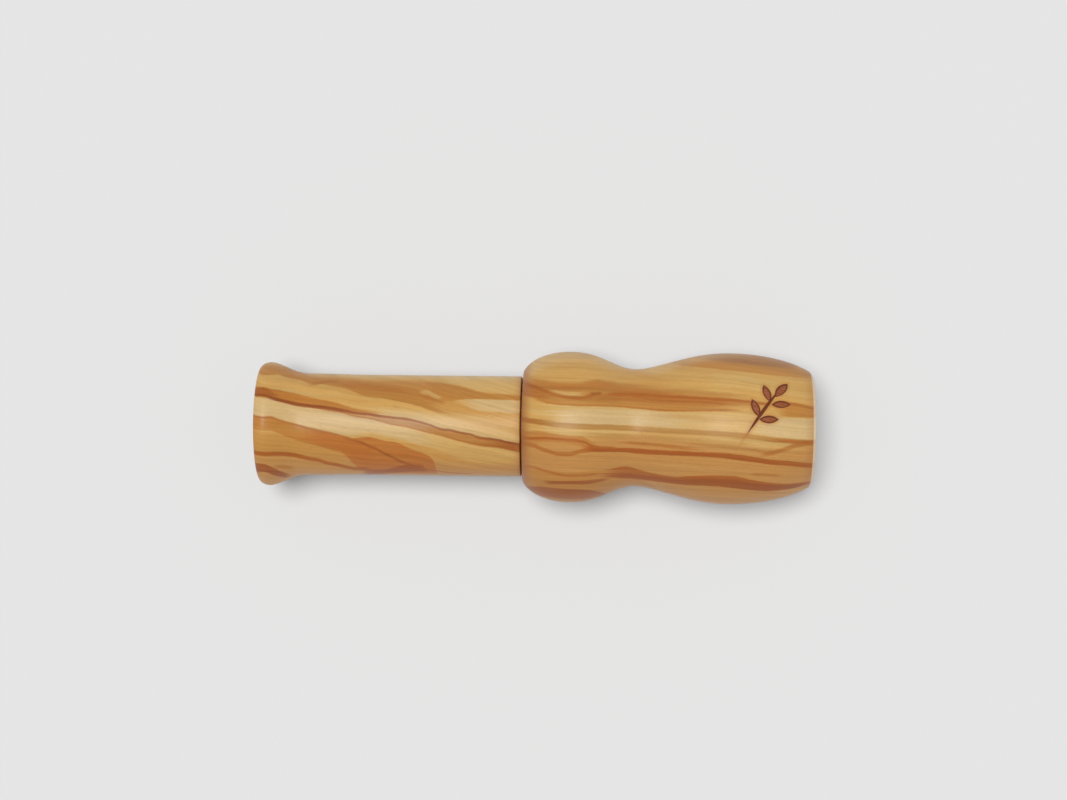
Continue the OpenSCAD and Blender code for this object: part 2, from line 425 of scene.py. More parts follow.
# Courses that several marks share: the dark vein in full and with fewer points, the foot of the
# dark band under it, and the top and the foot of the coppery patch.
VEIN: Course = (
    (-62, 6.3), (-60, 6.1), (-58, 5.6), (-56, 5), (-54, 4.5), (-52, 4.1), (-50, 4), (-46, 3.6),
    (-42, 2.9), (-40, 2.5), (-36, 2.1), (-32, 1.6), (-28, 1.2), (-26, 0.8), (-24, 0.3),
    (-22.5, -0.2), (-21.5, -0.6), (-20, -1), (-18.5, -1.1), (-16, -1.7), (-14, -2),
    (-12.5, -2.5), (-11, -2.8), (-9, -3), (-7.5, -3.2), (-6, -3.6), (-3, -4.1))
PLAIN_VEIN: Course = (
    (-28, 1.2), (-24, 0.3), (-21.5, -0.6), (-20, -1), (-16, -1.7), (-12.5, -2.5), (-9, -3),
    (-3, -4.1))
VEIN_FOOT: Course = (
    (-62, 5.9), (-58, 5.5), (-54, 4.4), (-50, 3.6), (-46, 3), (-42, 2.4), (-40, 1.8), (-36, 1.2),
    (-32, 0.2), (-28, -0.5), (-24, -1.5), (-22, -1.9), (-20, -2.4), (-16, -3.5), (-12, -4.4),
    (-8, -4.8), (-3, -5.8))
PATCH_TOP: Course = (
    (-62, 1.7), (-58, 1.3), (-56, 0.6), (-54, 0.1), (-52, -0.4), (-48, -1.4), (-44, -2.2),
    (-42, -2.8), (-40, -3.5), (-36, -4.8))
PATCH_FOOT: Course = (
    (-62, -1.2), (-58, -1.6), (-56, -2.3), (-54, -3), (-52, -3.7), (-48, -4.7), (-44, -5.9),
    (-42, -6.6), (-40, -7.3), (-36, -9))

STOPPER_FIGURE_AND_REFLECTION: tuple[Band | Line, ...] = (
    Band(Tone.TAN, ((-62, -18), (0, -18)), ((-62, -3), (-40, -5), (-24, -7.6), (-14, -8.6), (-3, -8.6)),
         (1.0, 2.6), 0.85),
    Band(Tone.PALE, ((-24, -5.4), (-20, -6.4), (-14, -7.4), (-8, -7.4), (-3, -7.4)), ((-24, -1.5),
         *stretch(VEIN_FOOT, -20, -3)), (2.4, 0.2), 0.55, (-26, 4), 5.0),
    Band(Tone.CINNAMON, ((-62, 11.3), (-57.5, 10.9), (-56, 10.4), (-54, 9.9), (-52, 9.5), (-50, 8.8),
         (-48, 8.8), (-44, 8.3), (-42, 7.9), (-40, 7.1), (-38, 6.3), (-34, 5.8), (-32, 5.5), (-30, 5.1),
         (-26, 4.2), (-24, 3.6), (-21, 2.6), (-16, 2.4)), ((-62, 16), (-50, 14), (-44, 10.6), (-40, 10),
         (-34, 9.8), (-28, 9.8), (-24, 9.6), (-20, 9.3), (-18, 8.9), (-14, 8)), (0.25, 0.8), 0.95,
         (-80, -17), 6.0),
    Band(Tone.CINNAMON, ((-24, 6.9), (-21, 5.9), (-18.5, 5.4), (-16, 5.7), (-14, 5.8), (-8, 5.7),
         (-3, 5.6)), ((-24, 9.6), (-20, 9.3), (-18, 8.9), (-16, 8.5), (-14, 7.9), (-12, 7.4), (-10, 7.1),
         (-8, 7), (-3, 6.6)), (0.3, 0.4), 0.95, (-25, 4)),
    Band(Tone.AMBER, ((-20, 2.6), (-16, 2.4), (-12, 2.2), (-6, 2.2)), ((-20, 5.2), (-18, 5), (-16, 4.5),
         (-14, 3.8), (-12, 3.2), (-6, 2.8)), (1.2, 0.5), 0.7, (-22, -5), 5.0),
    Band(Tone.CREAM, ((-19, 5), (-16, 4.6), (-14, 3.9), (-12, 3.3), (-8, 3), (-3, 2.7)), ((-19, 5.2),
         (-16, 5.7), (-14, 5.8), (-8, 5.7), (-3, 5.6)), (0.5, 0.3), 0.85, (-20, 4), 8.0),
    Band(Tone.PALE, ((-22, 9.9), (-20, 9.5), (-18, 9.2), (-16, 8.8), (-14, 8.2), (-12, 7.7), (-8, 7.2),
         (-3, 6.9)), ((-22, 18), (-3, 18)), (0.4, 1.0), 0.8, (-23, 4), 6.0),
    Line(Tone.PALE, ((-25.5, 7.1), (-24, 7.2), (-22.8, 6.7), (-21, 5.9)), 0.4, 0.4, 0.65, (-26, -20), 1.5),
    Line(Tone.SIENNA, ((-25.5, 6.7), (-23, 5.9), (-20, 5)), 0.25, 0.35, 0.6, (-27, -19)),
    Line(Tone.SIENNA, ((-44, 9), (-38, 8.3), (-33, 7.8), (-28, 7.2), (-25.5, 6.8)), 0.3, 0.6, 0.55,
         (-46, -25), 4.0),
    Line(Tone.SIENNA, ((-50.5, 8.6), (-49, 8.9), (-47, 9.3), (-44, 9.6)), 0.2, 0.3, 0.6, (-51, -43)),
    Band(Tone.CREAM, ((-62, 1.7), (-58, 1.3), (-54, 0.1), (-50, -1), (-46, -1.8), (-42, -2.6), (-40, -2.4),
         (-36, -2.1), (-32, -2.7), (-28, -3.6), (-24, -4.6), (-20, -5)), (*stretch(VEIN_FOOT, -62, -24),
         (-20, -2.4)), (1.2, 0.25), 0.9, (-75, -18), 10.0),
    Band(Tone.CREAM, ((-34, 1.9), *PLAIN_VEIN), ((-34, 3.3), (-28, 3), (-24, 2.7), (-20, 2), (-16, 1),
         (-12, -0.2), (-8, -0.9), (-3, -2)), (0.1, 1.3), 0.6, (-40, 4), 9.0),
    Band(Tone.GINGER, (*stretch(VEIN, -62, -52), (-48, 3.8), (-44, 3.3), *stretch(VEIN, -40, -32)),
         ((-62, 8.2), (-60, 8), (-58, 7.6), (-54, 6.8), (-52, 6.4), (-50, 5.9), (-48, 5.5), (-44, 4.7),
         (-42, 4.1), (-40, 3.5), (-36, 2.9), (-32, 2.3)), (0.15, 0.35), 0.95, (-75, -31), 9.0),
    Band(Tone.BRICK, stretch(VEIN, -62, -54), ((-62, 8), (-60, 7.8), (-58, 7), (-56, 6), (-54, 5)),
         (0.2, 0.5), 0.75, (-75, -54.5), 4.0),
    Band(Tone.DRAB, stretch(VEIN_FOOT, -50, -3), (*stretch(VEIN, -50, -28), *stretch(PLAIN_VEIN, -24, -16),
         (-12.5, -2.6), (-9, -3), (-3, -4.1)), (0.2, 0.1), 0.85, (-52, 4), 5.0),
    Band(Tone.CINNAMON, ((-26, -1), *stretch(VEIN_FOOT, -24, -3)), ((-26, 0.8),
         *stretch(PLAIN_VEIN, -24, -16), (-12.5, -2.6), (-9, -3.2), (-3, -4.3)), (0.2, 0.1), 0.9, (-27, 4),
         7.0),
    Band(Tone.BRICK, stretch(VEIN_FOOT, -16, -3), stretch(PLAIN_VEIN, -16, -3), (0.2, 0.1), 0.85, (-15, 4),
         10.0),
    Line(Tone.SIENNA, ((-50, 3.5), *stretch(VEIN_FOOT, -46, -3)), 0.12, 0.28, 0.75, (-51, 4), 5.0),
    Line(Tone.UMBER, VEIN, 0.25, 0.25, 0.9),
    Line(Tone.UMBER, ((-59, 5.8), (-56, 5), (-52, 4.1), (-50, 3.9), (-46, 3.5), (-42, 2.9), (-38, 2.2)),
         0.4, 0.3, 0.8, (-60, -38), 6.0),
    Band(Tone.AMBER, ((-62, -6.4), (-56, -7), (-52, -7.4), (-48, -8.2), (-44, -9.2), (-40, -10)),
         ((-62, -1.3), (-56, -2.3), (-52, -3.4), (-48, -4.7), (-44, -5.9), (-40, -7.3)), (0.9, 0.8), 0.75,
         (-75, -40), 5.0),
    Band(Tone.GINGER, PATCH_FOOT, PATCH_TOP, (0.5, 0.15), 0.8, (-76, -34), 3.0),
    Band(Tone.COPPER, ((-52, -3.2), (-48, -4.7), (-44, -5.6), (-42, -6), (-40, -7.3), (-36, -9)),
         stretch(PATCH_TOP, -52, -36), (0.8, 0.15), 0.9, (-53, -34), 7.0),
    Line(Tone.SIENNA, ((-62, -1.2), (-58, -1.6), *stretch(PATCH_FOOT, -54, -40)), 0.15, 0.4, 0.5,
         (-58, -39), 8.0),
    Band(Tone.COPPER, ((-44, -5.2), (-42.5, -6.3), (-41, -7.8), (-39.8, -9.2), (-38.4, -10.3),
         (-36, -10.7), (-30, -10.9), (-20, -10.9)), ((-43, -3.6), (-40, -3.2), (-38, -2.9), (-36.5, -2.8),
         (-35, -3.1), (-33, -3.6), (-30, -4.1), (-28, -5), (-26, -5.8), (-24, -6.5), (-23, -7.1),
         (-22.3, -8), (-22, -9), (-21.8, -10.2), (-21.7, -11.2)), (1.2, 0.4), 0.95, (-45, -16), 3.0),
    Line(Tone.GINGER, ((-36, -6.1), (-34, -6.4), (-32, -6.7), (-30, -7.4), (-28.5, -8)), 0.5, 0.6, 0.7,
         (-37, -27), 3.0),
    Line(Tone.BRICK, ((-42, -2.9), (-40, -3.5), (-38, -4.1), (-36.5, -4.8), (-35, -5.4), (-33, -6.5),
         (-31, -7.5), (-29.5, -8.2), (-28, -8.8), (-26, -9.3)), 0.25, 0.5, 0.75, (-43, -25.5), 2.0),
    Band(Tone.BRICK, ((-38, -11.5), (-31, -10.8), (-28, -10.5), (-24, -10.4)), ((-38, -10.2), (-34, -10.2),
         (-31, -9.5), (-28, -8.9), (-25.5, -8.9), (-24, -9.6)), (0.6, 0.5), 0.8, (-39, -23), 2.0),
    Line(Tone.RUST, ((-26, -9.6), (-22, -10.2), (-19, -10.6), (-15, -10.8)), 0.2, 0.3, 0.7, (-27, -13)),
    Line(Tone.SIENNA, (*stretch(PATCH_TOP, -62, -52), (-50, -1), (-48, -1.4), (-46, -1.8),
         *stretch(PATCH_TOP, -44, -40)), 0.15, 0.3, 0.8, (-75, -38)),
    Line(Tone.RUST, ((-62, -6.4), (-58, -6.8), (-54, -6.9), (-52, -7.3), (-50, -7.8), (-48, -8.1),
         (-46, -8.7), (-44, -9.1), (-42, -9.6), (-40, -10)), 0.6, 0.5, 0.95, (-75, -36)),
    Band(Tone.SIENNA, ((-57.5, -10), (-55, -10.2), (-53.5, -10.3)), ((-57.5, -9.2), (-55, -9.3),
         (-53.5, -9.6)), (0.5, 0.5), 0.6, (-58, -53), 1.5),
    Band(Tone.BRICK, ((-62, -10.9), (-60, -10.9), (-58, -11.6), (-56, -12.2)), ((-62, -8.7), (-60, -9),
         (-58, -9.8), (-56, -10.9), (-54.5, -11.4)), (0.4, 0.3), 0.95, (-75, -54), 2.0),
    # Painted reflection: a pale film along the far (+y) side, standing in for the sheen of the pale
    # surroundings at the grazing edge.
    Band(Tone.CREAM, ((-62, 12.6), (-60, 13.3), (-58, 13), (-50, 10.6), (-3, 10.3)), ((-62, 20), (-3, 20)),
         (0.7, 0.5), 0.6),
)

BARREL_GRAIN: Course = ((-3, 1.1), (8, 0), (24, -0.6), (40, -1.4), (50, -2.3), (62, -3.1))

# Courses that several marks share: the long middle vein, and the foot of the dark bands.
MIDDLE_VEIN: Course = (
    (-3, 1.4), (0, 0.9), (2, 0.6), (4, 0.3), (8, 0), (16, -0.2), (20, -0.4), (24, -0.6),
    (28, -0.8), (34, -1), (40, -1.3), (46, -1.8), (50, -2.3), (56, -2.8), (62, -3.1))
DARK_FOOT: Course = (
    (24, -11.8), (28, -12.2), (32, -12.6), (40, -12.9), (44, -13.3), (48, -13.7), (52, -13.9),
    (56, -13.5), (60, -12.5))

BARREL_FIGURE_AND_REFLECTION: tuple[Band | Line, ...] = (
    Band(Tone.TAN, ((-3, -20), (62, -20)), ((-3, -1.5), (30, -2.5), (62, -4)), (1.0, 3.0), 0.9),
    Band(Tone.CINNAMON, ((26, 16.5), (28, 15.2), (30, 14.2), (33, 13.6), (36, 13.3), (40, 12.8),
         (44, 12.4), (48, 12), (52, 11.6), (56, 11.3), (62, 11.1)), ((26, 20), (62, 20)), (0.3, 0.5), 0.9,
         (25, 80), 3.0),
    Band(Tone.SMOKE, ((34, 17.2), (36, 16), (38, 15), (42, 14.3), (48, 13.8), (54, 13.5), (58, 13.8),
         (60, 15), (61.5, 17.2)), ((34, 20), (62, 20)), (0.7, 0.5), 0.7, (33, 63), 2.0),
    Band(Tone.SMOKE, ((2, 17.4), (5, 16.4), (8, 16), (12, 16.2), (15, 17.4)), ((2, 20), (15, 20)),
         (0.5, 0.5), 0.5, (1, 16), 2.0),
    Band(Tone.CINNAMON, ((-3, 6.6), (0, 5.9), (2, 5.2), (4, 4.7), (8, 4.4), (12, 4.4), (16, 4.4),
         (18, 4.2), (22, 4), (26, 3.6), (30, 3.4), (34, 3.5), (40, 3.6), (46, 4), (50, 4.2)), ((-3, 10.2),
         (0, 10.1), (4, 9.6), (8, 9.3), (10.3, 9.4), (12, 9.8), (13.5, 10.1), (16, 9.8), (20, 9.2),
         (24, 8.7), (28, 8.4), (34, 8.1), (40, 7.7), (50, 7.2)), (0.2, 0.7), 0.85, (-10, 50), 12.0),
    Band(Tone.SIENNA, ((-3, 6.9), (0, 6.2), (4, 5.2)), ((-3, 10), (0, 8.9), (4, 7.4)), (0.4, 0.5), 0.85,
         (-10, 6), 5.0),
    Band(Tone.SIENNA, ((12, 5.6), (16, 5.5), (20, 5.5), (24, 5.1), (28, 4.9), (34, 4.7), (42, 4.6)),
         ((12, 6.9), (16, 7.3), (20, 7.7), (24, 7.9), (28, 7.8), (34, 7), (42, 6.1)), (0.7, 0.6), 0.6,
         (10, 46), 5.0),
    Line(Tone.SIENNA, ((0, 9.4), (4, 8.7), (8, 8.6), (12, 8.9), (16, 8.9), (20, 8.4), (26, 7.9)), 0.6, 0.9,
         0.5, (-4, 30), 6.0),
    Line(Tone.PALE, ((2.6, 7.6), (5, 7.2), (8, 7), (10.5, 7)), 0.3, 0.4, 0.75, (2.4, 12), 3.0),
    Line(Tone.RUST, ((-3, 9.6), (0, 8.5), (2.3, 7.6), (4, 7), (6, 6.5), (8, 6.2), (10, 6.1), (12, 6.4)),
         0.25, 0.35, 0.75, (-10, 14)),
    Line(Tone.UMBER, ((12.2, 7), (13.4, 7.1), (15, 7.2)), 0.2, 0.3, 0.7, (12, 15.2), 0.9),
    Line(Tone.RUST, ((16, 7), (20, 7), (24, 6.9), (28, 6.6), (32, 6.5), (36, 6.3), (40, 6.1), (44, 5.9),
         (48, 5.5), (51, 5.2)), 0.25, 0.3, 0.85, (15, 53), 3.0),
    Line(Tone.RUST, ((21, 6.7), (24, 6.3), (27, 5.9), (30, 5.7), (36, 5.6), (42, 5.3), (48, 4.9)), 0.15,
         0.3, 0.5, (20, 51), 3.0),
    Line(Tone.OCHRE, ((18, 9.1), (24, 8.5), (30, 8.1), (36, 8)), 0.3, 0.5, 0.4, (16, 40), 5.0),
    Line(Tone.SIENNA, ((2, 5.3), (4, 4.8), (8, 4.5), (12, 4.5), (17, 4.4), (22, 4.1), (26, 3.8), (30, 3.6),
         (36, 3.6), (42, 3.8)), 0.12, 0.28, 0.6, (0, 46), 4.0),
    Band(Tone.CINNAMON, ((53, 2.6), (57.3, 2.4), (62, 2.4)), ((53, 5.6), (57.4, 5.4), (59.8, 4.9),
         (62, 4.4)), (0.4, 0.3), 0.9, (52.5, 75)),
    Line(Tone.RUST, ((53, 5.4), (56, 5.3), (58.5, 5), (61, 4.5)), 0.25, 0.35, 0.65, (52, 75)),
    Band(Tone.PALE, ((3, 0.5), (8, 0.2), (16, 0), (24, -0.4), (32, -0.8), (40, -1.2), (50, -1.8),
         (62, -2.4)), ((3, 4.7), (8, 4.3), (17, 4.2), (22, 3.9), (27, 3.4), (34, 3.3), (45, 3.2),
         (54, 2.4), (62, 2.3)), (0.4, 0.3), 0.85, (0.5, 80), 6.0),
    Band(Tone.CREAM, ((4, 0.6), (10, 0.4), (20, 0.2), (30, -0.2)), ((4, 3.5), (10, 3.6), (20, 3.6),
         (30, 2.8)), (0.6, 0.9), 0.9, (3, 36), 7.0),
    Band(Tone.CREAM, ((48, -2), (55, -2.3), (62, -2.5)), ((48, 2.4), (54.4, 2.2), (62, 2.2)), (0.5, 0.4),
         0.95, (47, 80), 6.0),
    Line(Tone.OCHRE, ((26, 2.2), (34, 2), (42, 1.5), (48, 1.2)), 0.3, 0.7, 0.35, (24, 50), 6.0),
    Band(Tone.PALE, ((-3, -0.9), (2, -1.1), (8, -1.8), (14, -1.7), (22, -2)), ((-3, 0.4), (2, 0.2),
         (8, -0.3), (14, -0.5), (22, -0.8)), (0.4, 0.3), 0.8, (0.5, 24), 2.5),
    Line(Tone.OCHRE, MIDDLE_VEIN, 0.7, 0.4, 0.95),
    Line(Tone.SIENNA, stretch(MIDDLE_VEIN, -3, 4), 0.4, 0.5, 0.7, (-10, 6), 4.0),
    Line(Tone.OCHRE, ((12, -2), (20, -2.2), (28, -2.6), (36, -3.1), (44, -3.6)), 0.4, 0.8, 0.5, (10, 50),
         6.0),
    Line(Tone.SIENNA, ((21, -3.7), (25, -3.9), (30, -4.3), (35, -4.8)), 0.3, 0.5, 0.7, (19, 38), 4.0),
    Line(Tone.SIENNA, ((36, -3.9), (42, -4.3), (48, -4.8), (52, -5.4)), 0.15, 0.5, 0.5, (34, 54), 4.0),
    Band(Tone.GINGER, ((-3, -3.6), (4, -3.7), (8, -4), (10.5, -4.3), (13, -5.2)), ((-3, -1.2), (2, -1.3),
         (4, -1.7), (8, -2.2), (10.5, -2.3), (13, -3.4)), (0.8, 0.4), 0.75, (-10, 15)),
    Line(Tone.RUST, ((-3, -2.6), (4, -2.8), (8, -3.1), (10, -3.3), (11.5, -3.6), (12.5, -4.2), (14, -4.6),
         (18, -4.8)), 0.3, 0.3, 0.9, (-10, 19)),
    Line(Tone.SIENNA, ((-3, -4), (0, -4.4), (2, -5.2), (4, -5.8), (6, -6.2), (8, -6.2), (10, -5.7),
         (12, -5.3), (14, -5.2)), 0.55, 0.4, 0.9, (-10, 17)),
    Band(Tone.RUST, ((10, -5.4), (12, -5.6), (16, -5.6), (20, -5.7), (24, -6.1), (28, -6.2), (32, -6.3),
         (36, -6.4), (40, -6.5), (44, -7), (48, -7.5), (52, -8), (56, -8.2), (62, -8.7)), ((10, -4.2),
         (12, -4.4), (14, -4.7), (16, -4.8), (20, -4.7), (24, -4.9), (28, -5.1), (32, -5.2), (36, -5.4),
         (40, -5.5), (44, -5.8), (48, -6.3), (52, -6.9), (56, -7.2), (62, -7.6)), (0.3, 0.25), 1.0,
         (10, 80)),
    Line(Tone.BRICK, ((12, -5.1), (20, -5.3), (28, -5.7), (36, -6), (44, -6.6), (52, -7.6), (62, -8.3)),
         0.35, 0.4, 0.65, (12, 80)),
    Line(Tone.SIENNA, ((50, -5.8), (54, -4.9), (57.5, -3.7), (60.5, -3.2)), 0.45, 0.6, 0.75, (49, 75)),
    Line(Tone.RUST, ((48, -2.5), (52, -2.7), (56, -2.9), (62, -3.1)), 0.35, 0.35, 0.75, (49, 80), 5.0),
    Line(Tone.SIENNA, ((47.5, -10.1), (51, -10.2), (54, -10.4)), 0.25, 0.4, 0.65, (47, 55)),
    Band(Tone.CINNAMON, ((-3, -20), (28, -20)), ((-3, -8.8), (4, -9.8), (8, -10.2), (12, -9.9), (16, -9.6),
         (20, -10.4), (24, -11.8), (28, -14)), (0.5, 0.8), 0.8, (-10, 32), 4.0),
    Line(Tone.RUST, ((-3, -8.9), (0, -9.2), (4, -10.3), (8, -11), (12, -10.8)), 0.3, 0.4, 0.65, (-10, 15)),
    Band(Tone.RUST, ((12, -11.3), (16, -11.4), (20, -11.5), *DARK_FOOT, (62, -12)), ((12, -10.2),
         (16, -9.6), (20, -8.8), (22, -9.1), (24, -9.7), (27, -10.4), (31, -11), (33.7, -10.8),
         (37, -10.6), (41, -10.5), (44, -10.6), (48, -11.4), (52, -12), (56, -12.2), (60, -11.8),
         (62, -11.5)), (0.5, 0.3), 0.95, (13, 80), 5.0),
    Band(Tone.BRICK, ((16, -11.6), *DARK_FOOT), ((16, -10.8), (20, -10.4), (24, -10.7), (28, -11.1),
         (32, -11.5), (38, -11.3), (44, -11.5), (48, -12.1), (52, -12.5), (56, -12.6), (60, -12)),
         (0.5, 0.5), 0.85, (15, 64), 5.0),
    Band(Tone.BRICK, ((2, -12.9), (8, -12.9), (12, -12.8), (16, -12)), ((2, -12.1), (8, -12.1),
         (12, -11.9), (16, -11.4)), (0.3, 0.3), 0.85, (1.5, 17.5), 2.5),
    Band(Tone.BRICK, ((-3, -15.6), (4, -16.1), (12, -16.2), (18.5, -15.2)), ((-3, -13.1), (3, -13.6),
         (7, -13.9), (12, -14.1), (15, -14.7), (17, -15.7), (18.5, -17)), (1.6, 0.4), 0.85, (-10, 30),
         4.0),
    # Painted reflection: a pale film along the far (+y) side, standing in for the sheen of the pale
    # surroundings at the grazing edge.
    Band(Tone.CREAM, ((-3, 10.6), (3, 13), (10, 14.3), (18, 12.8), (26, 11.8), (34, 14), (46, 16.6),
         (56, 15.2), (62, 12.4)), ((-3, 22), (62, 22)), (1.2, 0.5), 0.4),
)


@dataclass(frozen=True)
class OliveWood:
    """Polished olive wood, with the figure of its own piece, a painted reflection along its far side, and
    painted shade and highlight at its turned ends.
    """

    name: str
    figure: tuple[Band | Line, ...]
    radius_at: Callable[[float], float]
    offset: Triple
    bore_r: float
    grain: Course
    across: float
    lean: float
    sprig: Sprig | None = None
    end_lights: tuple[EndLight, ...] = ()
    pith: Point = (-60.0, -8.0)
    outermost: float = 0.995
    long_fade: float = 4.0
    under_depth: float = 9.0
    drift_reach: float = 7.0
    ragged_reach: float = 0.22
    tip_reach: float = 20.0
    relief: float = 0.05

    def growth(self, y: float, z: float) -> float:
        """Place of a point in the tree's rings, in millimetres from the axis."""
        here = math.hypot(y - self.pith[0], z - self.pith[1])
        return here - math.hypot(*self.pith)

    def along_rings(self, course: Course) -> list[Point]:
        """Turns a course that is seen from above into one through the rings.

        Args:
            course: Points of the course, as place along the call and across it.

        Returns:
            Points as place along the call and place in the rings.
        """
        points = []
        for x, y in course:
            r = self.radius_at(x)
            y += self.across
            if abs(y) <= r:
                y = max(-self.outermost * r, min(self.outermost * r, y))
            points.append((x, self.growth(y, math.sqrt(max(0.0, r * r - y * y)))))
        return points

    def between(self, graph: Graph, mark: Band | Line, x: Value,
                tips: Value) -> Value | float:
        """Fades a mark out past its ends, and a long fade follows the wood's streaks."""
        if mark.ends is None:
            return 1.0
        first, last = mark.ends
        along = x if mark.taper < self.long_fade else tips
        return (graph.rise(along, first, first + mark.taper)
                * (1 - graph.rise(along, last - mark.taper, last)))

    def paint(self, graph: Graph, under: Value, mark: Band | Line, x: Value, tips: Value,
              ring: Value, streaks: Value, veins: Value) -> Value:
        """Paints one band or line of the figure, or of painted reflection, over what is there.

        Args:
            graph: The graph.
            under: Colour so far.
            mark: The band or line.
            x: Place along the call.
            tips: The same, ragged from streak to streak.
            ring: Place in the rings.
            streaks: Share of a band's colour.
            veins: Share of a short line's colour, which is less on the underside.

        Returns:
            The colour with the mark on it.
        """
        share = veins if isinstance(mark, Line) and mark.ends is not None else streaks
        if isinstance(mark, Line):
            off = abs(ring - graph.curve(self.along_rings(mark.course), x))
            cover = 1 - graph.rise(off, mark.width / 2, mark.width / 2 + mark.soft)
        else:
            low = graph.curve(self.along_rings(mark.low), x)
            cover = graph.rise(ring - low, -mark.soft[0] / 2, mark.soft[0] / 2)
            high = graph.curve(self.along_rings(mark.high), x)
            cover = cover * graph.rise(high - ring, -mark.soft[1] / 2, mark.soft[1] / 2)
        cover = cover * (share * mark.strength) * self.between(graph, mark, x, tips)
        return graph.mix(cover, under, mark.tone.colour)

    def ring_at(self, graph: Graph, x: Value, y: Value, z: Value, beneath: Value) -> Value:
        """Place of the shaded point in the rings, which wander on the underside."""
        beside, above = y - self.pith[0], z - self.pith[1]
        reach = graph.maths("SQRT", beside * beside + above * above)
        drift = graph.grain((x, y, z), (0.035, 0.09, 0.09), 1.0) - 0.5
        ragged = graph.grain((x, y, z), (0.45, 1.1, 1.1), 2.0) - 0.5
        return (reach - math.hypot(*self.pith) + beneath * (drift * self.drift_reach)
                + ragged * self.ragged_reach)

    @staticmethod
    def ground(graph: Graph, x: Value, row: Value, z: Value, beneath: Value) -> Value:
        """The wood between its marks: golden and pale layers, with a few thin red rows."""
        layers = graph.grain((x, row, z), (0.03, 0.32, 0.02), 3.0)
        colour = graph.mix(graph.rise(layers, 0.28, 0.50), Tone.AMBER.colour, Tone.HONEY.colour)
        colour = graph.mix(graph.rise(layers, 0.52, 0.74), colour, Tone.PALE.colour)
        rows = graph.grain((x, row, z), (0.02, 1.15, 0.03), 2.0)
        thin = graph.rise(rows, 0.60, 0.66) * (1 - graph.rise(rows, 0.66, 0.74))
        return graph.mix(thin * (beneath * 0.55 + 0.15), colour, Tone.RUST.colour)

    def paint_end_lights(self, graph: Graph, under: Value, x: Value, from_axis: Value) -> Value:
        """Lays the painted shade and highlight of the turned ends over the colour."""
        for end_light in self.end_lights:
            cover = graph.rise(x, end_light.first, end_light.last) * end_light.share
            cover = cover * graph.rise(from_axis, end_light.beyond_r - 0.3, end_light.beyond_r)
            under = graph.mix(cover, under, end_light.tone.colour)
        return under

    @staticmethod
    def burn(graph: Graph, under: Value, depth: Value, fibre: Value) -> Value:
        """Burns the sprig in: a scorched border, a dark outline and a brown floor."""
        floor = graph.mix(graph.rise(fibre, 0.35, 0.65), Tone.SINGED.colour, Tone.UMBER.colour)
        colour = graph.mix(graph.rise(depth, -0.9, 0.1) * 0.45, under, Tone.COPPER.colour)
        colour = graph.mix(graph.rise(depth, -0.12, 0.06), colour, Tone.BURNT.colour)
        return graph.mix(graph.rise(depth, 0.18, 0.40) * 0.9, colour, floor)

    def make(self) -> bpy.types.Material:
        """Builds the material.

        Returns:
            The finished material.
        """
        graph = Graph(self.name)
        point, x, y, z = graph.place(self.offset)
        beneath = graph.rise(0 - z, 0.0, self.under_depth)
        ring = self.ring_at(graph, x, y, z, beneath)
        row = ring - graph.curve(self.along_rings(self.grain), x)
        colour = self.ground(graph, x, row, z, beneath)
        streaks = graph.grain((x, row, z), (0.05, 2.4, 0.05), 3.0)
        streaks = graph.rise(streaks, 0.25, 0.7) * 0.25 + 0.82
        tips = x + (streaks - 0.95) * self.tip_reach
        veins = streaks * (1 - beneath * 0.85)
        for mark in self.figure:
            colour = self.paint(graph, colour, mark, x, tips, ring, streaks, veins)
        silk = graph.noise(graph.vector(x * 0.03, row * 2.2 + 7.0, z * 0.05), detail=4.0)
        colour = graph.shade(colour, graph.rise(silk, 0.28, 0.70), 0.90, 1.06)
        side = y - x * self.lean
        fibre = graph.grain((x, side, z), (0.12, 4.2, 4.2), 3.0)
        colour = graph.shade(colour, graph.rise(fibre, 0.30, 0.72), 0.965, 1.035)
        pits = graph.rise(graph.grain((x, side, z), (0.6, 9.0, 9.0), 1.0), 0.66, 0.76)
        colour = graph.mix(pits * 0.2, colour, Tone.UMBER.colour)
        from_axis = graph.maths("SQRT", y * y + z * z)
        colour = self.paint_end_lights(graph, colour, x, from_axis)
        inner = 1 - graph.rise(from_axis, self.bore_r, self.bore_r + 0.6)
        colour = graph.mix(inner * 0.6, colour, Tone.BORE.colour)
        rough = graph.noise(point, 0.35, 2.0) * 0.10 + pits * 0.12 + inner * 0.25 + 0.42
        if self.sprig is not None:
            depth = self.sprig.depth_in(graph, x, y, z)
            colour = self.burn(graph, colour, depth, fibre)
            rough = rough + graph.rise(depth, -0.05, 0.1) * 0.2
        return graph.finish(
            {"Coat Roughness": 0.36, "Coat IOR": 1.5, "Specular IOR Level": 0.1},
            {"Base Color": colour, "Roughness": rough, "Coat Weight": 0.36 - inner * 0.3},
            fibre * 0.5 - pits * 0.5, self.relief)


